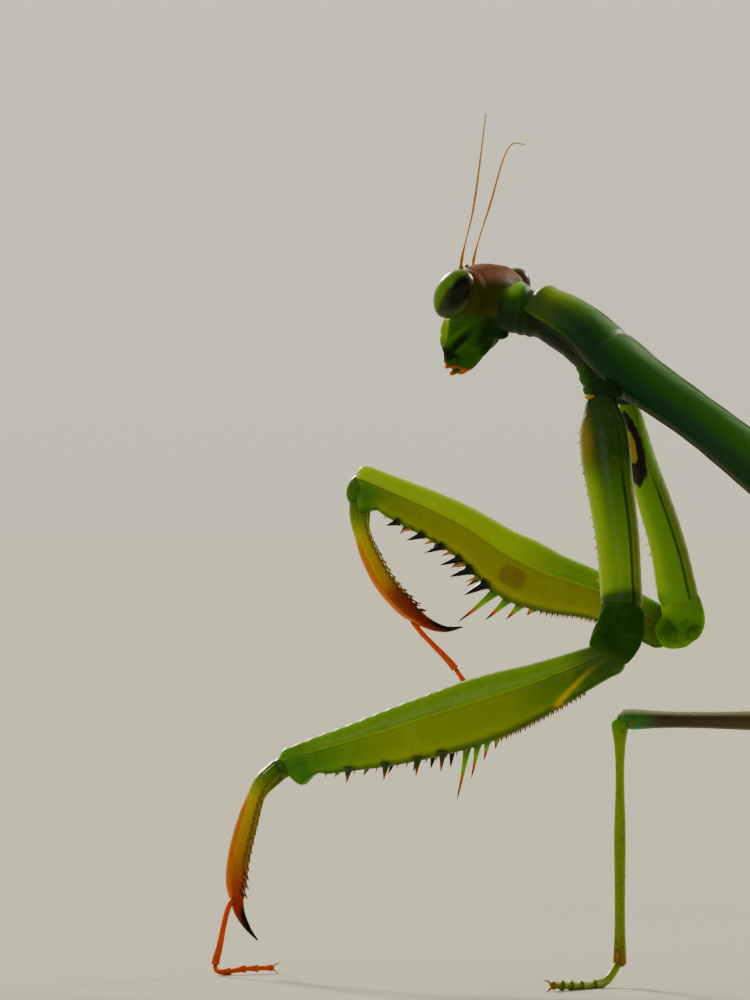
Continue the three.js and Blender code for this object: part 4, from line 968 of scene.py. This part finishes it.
def foot_skin(line, lean, joints, thick, flat=True):
    """A foot of several segments, each widening to its far end; a flat one has its sole on the floor."""
    limb = Limb(line, [(0, thick, thick), (1, thick * 0.85, thick * 0.85)], lean=lean)
    edges = np.array(joints)

    def within(share):
        """How far along its own segment each place lies."""
        i = np.clip(np.searchsorted(edges, np.clip(share, 0, 0.9999), side="right") - 1, 0, len(edges) - 2)
        return (share - edges[i]) / (edges[i + 1] - edges[i])

    skin = limb.surface(rings=220, sides=22, blunt=(thick, thick), relief=lambda s, a: thick * (
        0.5 * np.clip(within(s), 0, 1) ** 2.5 - 0.2 - 0.3 * bump(within(s), 0.0, 0.05)))
    if flat:
        skin.points[:, 2] = np.maximum(skin.points[:, 2], 0)
    return limb, skin.paint(joint=bump(within(skin["along"]), 0.0, 0.1))


def add_claws(piece, limb, length, radius):
    """The pair of hooked claws at the end of a foot, which go no lower than the floor."""
    for side in (-1, 1):
        root, along, _, wide = limb.place(0.985, 0, 0.3 * side)
        claw = thorn(root, unit(along + wide * side * 0.55 + UP * 0.35), length, radius, bend=0.45, flare=1.2)
        claw.points[:, 2] = np.maximum(claw.points[:, 2], 0)
        piece.add(claw, GOLDEN_SPINE)


# ---------------------------------------------------------------- forelegs

def build_coxa(name, side):
    line = FORELEGS[name]["coxa"]
    limb = Limb(line, COXA_SIZES[name], lean=TAILWARDS)

    def edges(share, angle):
        """A front edge, and a groove behind each side."""
        turn = folded(angle)
        front = 0.06 * bump(turn, math.pi, 0.16)
        ridge = 0.03 * bump(turn, 0.85, 0.1) - 0.06 * bump(turn, 0.72, 0.05)
        return front + ridge - 0.05 * bump(turn, 1.9, 0.5) + 0.006 * np.sin(share * 80) * np.sin(angle * 7)

    skin = limb.surface(rings=260, sides=96, blunt=(0.3, 0.6), overrun=(0.25, 0.8), relief=edges)
    along, high = skin["along"], skin["high"]
    inner = fade(-side * skin["outer"], -0.1, 0.25)
    ragged = 0.12 * np.sin(along * 60 + 4 * high) * np.sin(high * 9 + along * 25)
    spot = oval(along, high, (0.22, -0.2), (0.185, 0.95)) + ragged
    middle = oval(along, high, (0.205, -0.26), (0.085, 0.56)) + ragged
    lower_half = fade(along, 0.3, 0.5)
    # Painted light and shade: a glow of light through the front edge, and shade in the groove behind.
    skin.paint(flush=bump(along, 0.22, 0.15) * fade(-high, -0.1, 0.8),
               front=fade(-high, -0.2, 0.85) * fade(along, 0.2, 0.5) * fade(along, 1.01, 0.95),
               seam=bump(folded(skin["angle"]), 0.72, 0.1) * lower_half, back=fade(high, 0.8, 0.93) * lower_half,
               black=fade(spot, 1.15, 0.9) * inner, yellow=fade(middle, 1.15, 0.85) * inner)
    piece = Piece(COXA_CUTICLE if name == "left" else COXA_EYESPOT_CUTICLE).add(skin)
    root = [at(-0.2, side * 1.0, 26.3), at(0.1, side * 1.45, 25.1), line[0] + at(0.1, 0, -0.1)]
    soft = Limb(root, [(0, 1.15, 0.62), (0.5, 0.96, 0.54), (1, 0.76, 0.5)], lean=TAILWARDS).surface(
        rings=60, relief=lambda s, a: 0.03 * np.sin(s * 20) * fade(np.cos(a), 0.2, -0.6))
    # The soft root gets the neck skin's painted shade over all but its lowest side.
    piece.add(soft.paint(under=fade(soft["high"], -0.9, -0.2)), NECK_SKIN)
    hinge = limb.place(0.0, -0.62, side * 0.3)[0] + at(0, 0, 0.15)
    piece.add(egg(hinge, np.diag([0.3, 0.32, 0.12]), columns=32, rows=20), HINGE_SKIN)
    for share in np.linspace(0.08, 0.95, 17):
        turn = math.pi + RANDOM.uniform(-0.12, 0.12)
        place, axis, up, _ = limb.place(share, 1.02 * math.cos(turn), 1.02 * math.sin(turn))
        piece.add(thorn(place, -up + axis * 0.5, RANDOM.uniform(0.12, 0.26), 0.05), GOLDEN_SPINE)
    add_bristles(piece, limb, count=16, length=0.12, radius=0.02)
    piece.make(f"fore_coxa_{name}", "foreleg_cuticle")


def build_trochanter(name):
    """The knuckle between coxa and femur, with two rounded knobs on its side."""
    near = name == "left"
    limb = Limb(FORELEGS[name]["trochanter"], TROCHANTER_SIZES[name], lean=TAILWARDS)

    def relief(share, angle):
        high = np.cos(angle)
        return (0.035 * bump(share, 0.3, 0.12) * np.cos(3 * angle + 1) + 0.012 * np.sin(9 * angle + 12 * share)
                - 0.05 * bump(share + 0.14 * high, 0.72, 0.03) * fade(high, -0.5, 0.2))

    def on_knobs(points):
        """How much painted shade each point gets, round the knobs and their surroundings."""
        return sum(0.7 * np.exp(-(np.linalg.norm(points - centre, axis=1) / max(size) / 1.45) ** 2)
                   for centre, size in KNOBS[name])

    skin = limb.surface(rings=110, sides=80, blunt=(0.3, 0.55), overrun=(0, 0.3 if near else 0.1), relief=relief,
                        push=lambda s, a: 0.15 * (1 + np.cos(a)) * fade(s, 0.35, 0.0) * near)
    along = skin["along"]
    # dark is painted shade, over most of the near knuckle and round the knobs of the far one; front paints light
    # shining through the far one's front.
    if near:
        skin.paint(dark=(0.65 + 0.35 * fade(along, -0.05, 0.2)) * (1 - 0.45 * fade(along, 0.8, 1.15)))
    else:
        skin.paint(dark=on_knobs(skin.points), front=fade(-skin["high"], -0.1, 0.85) * fade(along, 0.5, 0.05))
    piece = Piece(TROCHANTER_CUTICLE).add(skin)
    for centre, size in KNOBS[name]:
        knob = egg(centre, np.diag(size), columns=48, rows=30)
        # The knobs get painted shade too, all over on the near knuckle.
        piece.add(knob.paint(dark=on_knobs(knob.points) + near))
    piece.make(f"fore_trochanter_{name}", "foreleg_cuticle")


def build_femur(name, side):
    near = name == "left"
    limb = Limb(FORELEGS[name]["femur"], FEMUR_SIZES[name])
    outwards = -side

    def section(share, angle):
        """Flatter faces than an ellipse, and a narrower lower edge that carries the spines."""
        high, wide = np.cos(angle), np.sin(angle)
        return high, np.sign(wide) * np.abs(wide) ** 0.8 * (1 - 0.28 * fade(high, -0.55, -1.0))

    def relief(share, angle):
        high = np.cos(angle)
        step = 0.05 * bump(high, 0.31, 0.05) - 0.05 * bump(high, 0.24, 0.035)
        sunk = -0.05 * bump(high, -0.15, 0.3) * fade(share, 0.1, 0.3)
        rows = 0.06 * bump(high, -0.86, 0.05) - 0.12 * bump(high, -1.0, 0.03)
        lobe = (0.4 * bump(share, 0.962, 0.03) - 0.08 * bump(share, 0.9, 0.018)) * fade(high, -0.3, -0.95)
        wedge = -0.07 * bump(high + 0.98 - (0.2 - share) * 4.9, 0.0, 0.07) * fade(share, 0.22, 0.18)
        return step + sunk + rows + lobe + wedge + 0.006 * np.sin(share * 150) * np.sin(angle * 6)

    slant = 0.14 if near else 0.34
    skin = limb.surface(rings=420, sides=120, blunt=(0.6, 0.6), overrun=(0.95, 0.08) if near else (0.7, -0.02),
                        shape=section, relief=relief, push=lambda s, a: slant * np.cos(a) * fade(s, 0.88, 1.0))
    along, high = skin["along"], skin["high"]
    inner = fade(-outwards * skin["outer"], 0.0, 0.3) * fade(along, 1.0, 0.78)
    stain = fade(oval(along, high, (0.445, -0.22), (0.036, 0.28), power=4), 2.2, 0.3)
    upper = fade(high, 0.24, 0.36)
    skin.paint(inner=inner, upper=upper, ridge=bump(high, 0.3, 0.035), keel=fade(-high, 0.66, 0.95),
               stain=stain * inner, knee=fade(along, 0.84, 0.97) * (1 if near else 0.5),
               lit=upper * fade(along, 0.2, 0.6) * (not near), base=fade(along, 0.14, -0.02),
               wedge=bump(high + 0.9 - (0.185 - along) * 4.9, 0.0, 0.11) * fade(along, 0.2, 0.16) * (1 - inner))
    piece = Piece(FEMUR_CUTICLE).add(skin)

    def stand(finish, share, length, radius, height, width, splay=0.0, lie=0.6, **form):
        """A spine that points down; splay turns its tip outwards, and lie lays it along the femur."""
        root, axis, up, wide = limb.place(share, height, width * outwards)
        piece.add(thorn(root, axis * lie - up * 0.86 + wide * splay * outwards, length, radius, **form), finish)

    for share, length in FEMUR_INNER_SPINES:
        long_one = length > 0.6 or share > 0.82
        radius = (0.2 if share < 0.6 else 0.16) if long_one else 0.09
        stand(BLACK_SPINE if long_one else GOLDEN_SPINE, share, length, radius, height=-0.7 if near else -0.92,
              width=-0.55, splay=-0.3, lie=0.42 + 1.6 * (share - 0.5), bend=-0.04, flare=1.4)
    for share, length in FEMUR_OUTER_SPINES:
        stand(DARK_SPINE, share, length, radius=0.15, height=-0.93, width=0.42, splay=0.12, lie=0.3, bend=-0.04,
              flare=1.8)
    for share, length in FEMUR_GRASPING_SPINES[name]:
        stand(GREEN_SPINE, share, length, radius=0.135 if near else 0.18, height=-0.95, width=-0.05,
              lie=0.42 if near else 0.3, bend=-0.05, flare=1.4)
    for share in np.linspace(0.46, 0.88, 15):
        stand(GOLDEN_SPINE, share + RANDOM.uniform(-0.004, 0.004), RANDOM.uniform(0.1, 0.2), radius=0.05,
              height=-0.97, width=0.36, splay=0.1)
    for share in np.linspace(0.09, 0.36, 19):
        for finish, width in ((DARK_SPINE, -0.34), (GOLDEN_SPINE, 0.34)):
            stand(finish, share, RANDOM.uniform(0.08, 0.14), radius=0.06, height=-0.98, width=width, lie=0.15, sides=7)
    for share in np.linspace(0.1, 0.97, 22):
        root, axis, up, _ = limb.place(share, 0.99, RANDOM.uniform(-0.15, 0.15))
        piece.add(thorn(root, up + axis * 0.9, RANDOM.uniform(0.06, 0.12), 0.012, sides=5), GOLDEN_SPINE)
    piece.make(f"fore_femur_{name}", "foreleg_cuticle")


def build_tibia(name):
    leg = FORELEGS[name]
    limb = Limb(leg["tibia"], TIBIA_SIZES, lean=leg["flexor"])

    def relief(share, angle):
        high = np.cos(angle)
        comb_rows = (0.05 * bump(high, 0.8, 0.08) - 0.1 * bump(high, 1.0, 0.05)) * fade(share, 0.76, 0.7)
        ridge = 0.03 * bump(high, -0.1, 0.08) - 0.03 * bump(high, -0.26, 0.06)
        return (comb_rows + ridge) * fade(share, 0.8, 0.6)

    into_knee = 0.35 if name == "left" else 0.1
    skin = limb.surface(rings=260, sides=72, blunt=(0.3, 0.05), overrun=(into_knee, 0), relief=relief)
    along, high = skin["along"], skin["high"]
    # The right tibia turns deep red on its lower side, from its middle on.
    skin.paint(back=fade(-high, 0.0, 0.5) * fade(along, 0.14, 0.3) * fade(along, 0.84, 0.7),
               comb=fade(high, 0.5, 0.85) * fade(along, 0.7, 0.5), claw=fade(along + 0.07 * high, 0.82, 0.9),
               scorch=fade(along, 0.42, 0.62) * fade(high, -0.75, -0.2) * (name == "right"))
    centre, radii = KNEES[name]
    knee_axes = [row[0] for row in Limb(leg["femur"], FEMUR_SIZES[name]).stations(1.0)][1:]
    knee = egg(centre, np.array(knee_axes) * at(*radii)[:, None], columns=56, rows=36)
    piece = Piece(TIBIA_CUTICLE).add(skin).add(knee)
    last_teeth, comb_end = 4, 0.72
    for count, width, first in ((15, -0.5, 0.16), (11, 0.5, 0.22)):
        for i in range(count):
            share = first + (comb_end - first) * i / (count - 1)
            length = (0.15 + 0.17 * (i / (count - 1)) ** 1.3) * RANDOM.uniform(0.9, 1.1)
            root, axis, up, across = limb.place(share, 0.82, width)
            piece.add(thorn(root, axis * 1.3 + up * 0.6 + across * 0.2 * width, length, 0.07, bend=-0.1, flare=1.5),
                      GOLDEN_SPINE if i < count - last_teeth else AMBER_SPINE)
    piece.make(f"fore_tibia_{name}", "fore_tibia_cuticle")


def build_fore_tarsus(name):
    limb, skin = foot_skin(FORELEGS[name]["tarsus"], (-0.8, 0.6, 0), joints=(0, 0.5, 0.65, 0.77, 0.87, 1),
                           thick=0.15, flat=name == "left")
    piece = Piece(TARSUS_CUTICLE).add(skin)
    add_claws(piece, limb, length=0.5, radius=0.07)
    add_bristles(piece, limb, count=26, length=0.09, radius=0.012)
    piece.make(f"fore_tarsus_{name}", "tarsus_cuticle")


# ---------------------------------------------------------------- walking legs

def build_hip(name, limb):
    skin = limb.surface(rings=90, sides=60, overrun=(0.3, 0.3), relief=lambda s, a: (
        0.04 * bump(np.cos(a), 0.5, 0.12) - 0.05 * bump(s, 0.8, 0.02) + 0.03 * bump(s, 0.86, 0.03)))
    # Painted shade in the groove near the hip's end.
    piece = Piece(CHEST_CUTICLE).add(skin.paint(seam=bump(skin["along"], 0.8, 0.03)))
    centre, along, high, wide = limb.place(1.02, 0, 0)
    piece.add(egg(centre, [along * 0.5, high * 0.66, wide * 0.56], columns=48, rows=30))
    piece.make(name, "walking_leg_cuticle")


def build_thigh(name, limb):
    skin = limb.surface(rings=200, sides=44, blunt=(0.3, 0.34), overrun=(0.2, 0.14), relief=lambda s, a: (
        0.03 * (bump(np.cos(a), 0.7, 0.08) + bump(np.cos(a), -0.7, 0.08)) - 0.06 * bump(s, 0.055, 0.006)))
    # top paints a pale highlight along the upper edge.
    piece = Piece(WALKING_LEG_CUTICLE).add(skin.paint(top=fade(skin["high"], 0.3, 0.85)))
    add_bristles(piece, limb, count=26, length=0.12, radius=0.014)
    for across in (-1, 1):
        root = limb.place(0.965, -0.3, 0.8 * across)[0]
        direction = limb.along[-1] - limb.stations(1)[2][0] * 0.6
        piece.add(thorn(root, direction, length=0.35, radius=0.07), GOLDEN_SPINE)
    piece.make(name, "walking_leg_cuticle")


def build_shin(name, limb):
    piece = Piece(SHIN_CUTICLE).add(limb.surface(
        rings=200, sides=36, blunt=(0.25, 0.25), overrun=(0.05, 0.1),
        relief=lambda s, a: 0.02 * bump(np.abs(np.sin(2 * a)), 1, 0.2)))
    add_bristles(piece, limb, count=46, length=0.15, radius=0.016)
    for across in (-1, 1):
        root, along, _, wide = limb.place(0.95, 0, 0.8 * across)
        piece.add(thorn(root, along + wide * 0.5 * across, length=0.7, radius=0.08), GOLDEN_SPINE)
    piece.make(name, "walking_leg_cuticle")


def build_walking_leg(name):
    hip, knee, foot, toe = np.array(WALKING_LEGS[name])
    prefix, which = name.split("_")
    trochanter = hip + HIP_DROP * at(1, SIDES[which], 1)
    build_hip(f"{prefix}_coxa_{which}", Limb([hip, trochanter], HIP_SIZES, lean=TAILWARDS))
    build_thigh(f"{prefix}_femur_{which}", Limb([trochanter, knee], THIGH_SIZES))
    build_shin(f"{prefix}_tibia_{which}", Limb([knee, foot], SHIN_SIZES, lean=TAILWARDS))
    heel = foot + (toe - foot) * 0.22
    heel[2] = toe[2]
    limb, skin = foot_skin([foot + at(0, 0, 0.15), heel, toe], unit(np.cross(toe - foot, UP)),
                           joints=(0, 0.42, 0.6, 0.74, 0.86, 1), thick=0.2)
    piece = Piece(SHIN_CUTICLE).add(skin)
    add_claws(piece, limb, length=0.6, radius=0.08)
    add_bristles(piece, limb, count=18, length=0.12, radius=0.013)
    piece.make(f"{prefix}_tarsus_{which}", "walking_leg_cuticle")


# ---------------------------------------------------------------- studio

AIM = at(-9.557, -3.478, 20.225)
AZIMUTH = math.radians(20)
RIGHTWARDS = at(math.cos(AZIMUTH), math.sin(AZIMUTH), 0)
AWAY = at(-math.sin(AZIMUTH), math.cos(AZIMUTH), 0)


def from_view(right, up, away):
    """A place in metres, given from the aim as the camera sees it."""
    return tuple(to_metres(AIM) + RIGHTWARDS * right + UP * up + AWAY * away)


def build_floor():
    """Matt painted board: an even, pale surface with a faint mottle from the roller."""
    material, add = new_material("painted_board")
    mottle = add("ShaderNodeTexNoise", {"Vector": add("ShaderNodeTexCoord", out=3), "Scale": 30.0, "Detail": 2.0})
    colour = add("ShaderNodeMix", {0: mottle, 6: "#b6b6aa", 7: "#babaae"}, data_type="RGBA", out=2)
    paint = add("ShaderNodeBsdfPrincipled", {"Base Color": colour, "Roughness": 0.95, "Specular IOR Level": 0.1})
    add("ShaderNodeOutputMaterial", {0: paint})
    reach = 4.0
    corners = [(-reach, -reach, 0), (reach, -reach, 0), (reach, reach, 0), (-reach, reach, 0)]
    mesh = bpy.data.meshes.new("floor")
    mesh.from_pydata(corners, [], [(0, 1, 2, 3)])
    mesh.materials.append(material)
    floor = add_object("floor", mesh)


def add_light(name, place, width, power, colour):
    """A far lamp that shines from this side; its width is the angle it fills in the sky, in radians."""
    lamp = bpy.data.lights.new(name, "SUN")
    lamp.angle, lamp.energy, lamp.color = width, power, linear(colour)[:3]
    light = add_object(name, lamp)
    light.location = place
    light.rotation_euler = (Vector(from_view(0, 0, 0)) - Vector(place)).to_track_quat("-Z", "Y").to_euler()


def build_studio():
    """Low warm lamps behind the insect, in a pale room that is lighter on their side."""
    world = bpy.data.worlds.new("studio")
    world.use_nodes = True
    world.node_tree.nodes.clear()
    add = partial(add_node, world.node_tree)
    direction = add("ShaderNodeTexCoord")
    height = add("ShaderNodeSeparateXYZ", {0: direction}, out=2)
    away = add("ShaderNodeVectorMath", {0: direction, 1: tuple(AWAY)}, operation="DOT_PRODUCT", out=1)
    above = add("ShaderNodeMapRange", {0: height, 1: 0.0, 2: 0.08})
    colour = add("ShaderNodeMix", {0: above, 6: "#e2dabf", 7: "#e6e3cf"}, data_type="RGBA", out=2)
    strength = add("ShaderNodeMapRange", {0: away, 1: -0.6, 2: 0.8, 3: 0.3, 4: 1.15})
    add("ShaderNodeOutputWorld", {0: add("ShaderNodeBackground", {"Color": colour, "Strength": strength})})
    bpy.context.scene.world = world
    add_light("sun_left", from_view(-0.42, 0.5, 1.05), width=0.17, power=5.4, colour="#fff2d6")
    add_light("sun_right", from_view(0.75, 0.5, 0.9), width=0.2, power=1.8, colour="#fff6e4")
    add_light("front_fill", from_view(-0.6, 0.45, -0.8), width=0.4, power=0.3, colour="#f6f8ff")


def build_camera():
    """A short telephoto view, level with the insect's chest."""
    distance, frame_height, sensor = 0.35, 42.918, 36.0
    lens = bpy.data.cameras.new("camera")
    lens.sensor_fit, lens.sensor_height = "VERTICAL", sensor
    lens.lens = sensor * distance * 1000 / frame_height
    lens.clip_start, lens.clip_end = 0.01, 20.0
    camera = add_object("camera", lens)
    camera.matrix_world = Matrix([[*axis, 0] for axis in zip(RIGHTWARDS, UP, -AWAY)] + [[0, 0, 0, 1]])
    camera.location = from_view(0, 0, -distance)
    bpy.context.scene.camera = camera


build_camera()
build_studio()
build_floor()
build_head()
build_neck()
build_shield()
build_chest()
build_abdomen()
for side_name, side_sign in SIDES.items():
    for build in (build_eye, build_feeler, build_cercus, build_forewing, build_coxa):
        build(side_name, side_sign)
    build_trochanter(side_name)
    build_femur(side_name, side_sign)
    build_tibia(side_name)
    build_fore_tarsus(side_name)
for leg_name in WALKING_LEGS:
    build_walking_leg(leg_name)
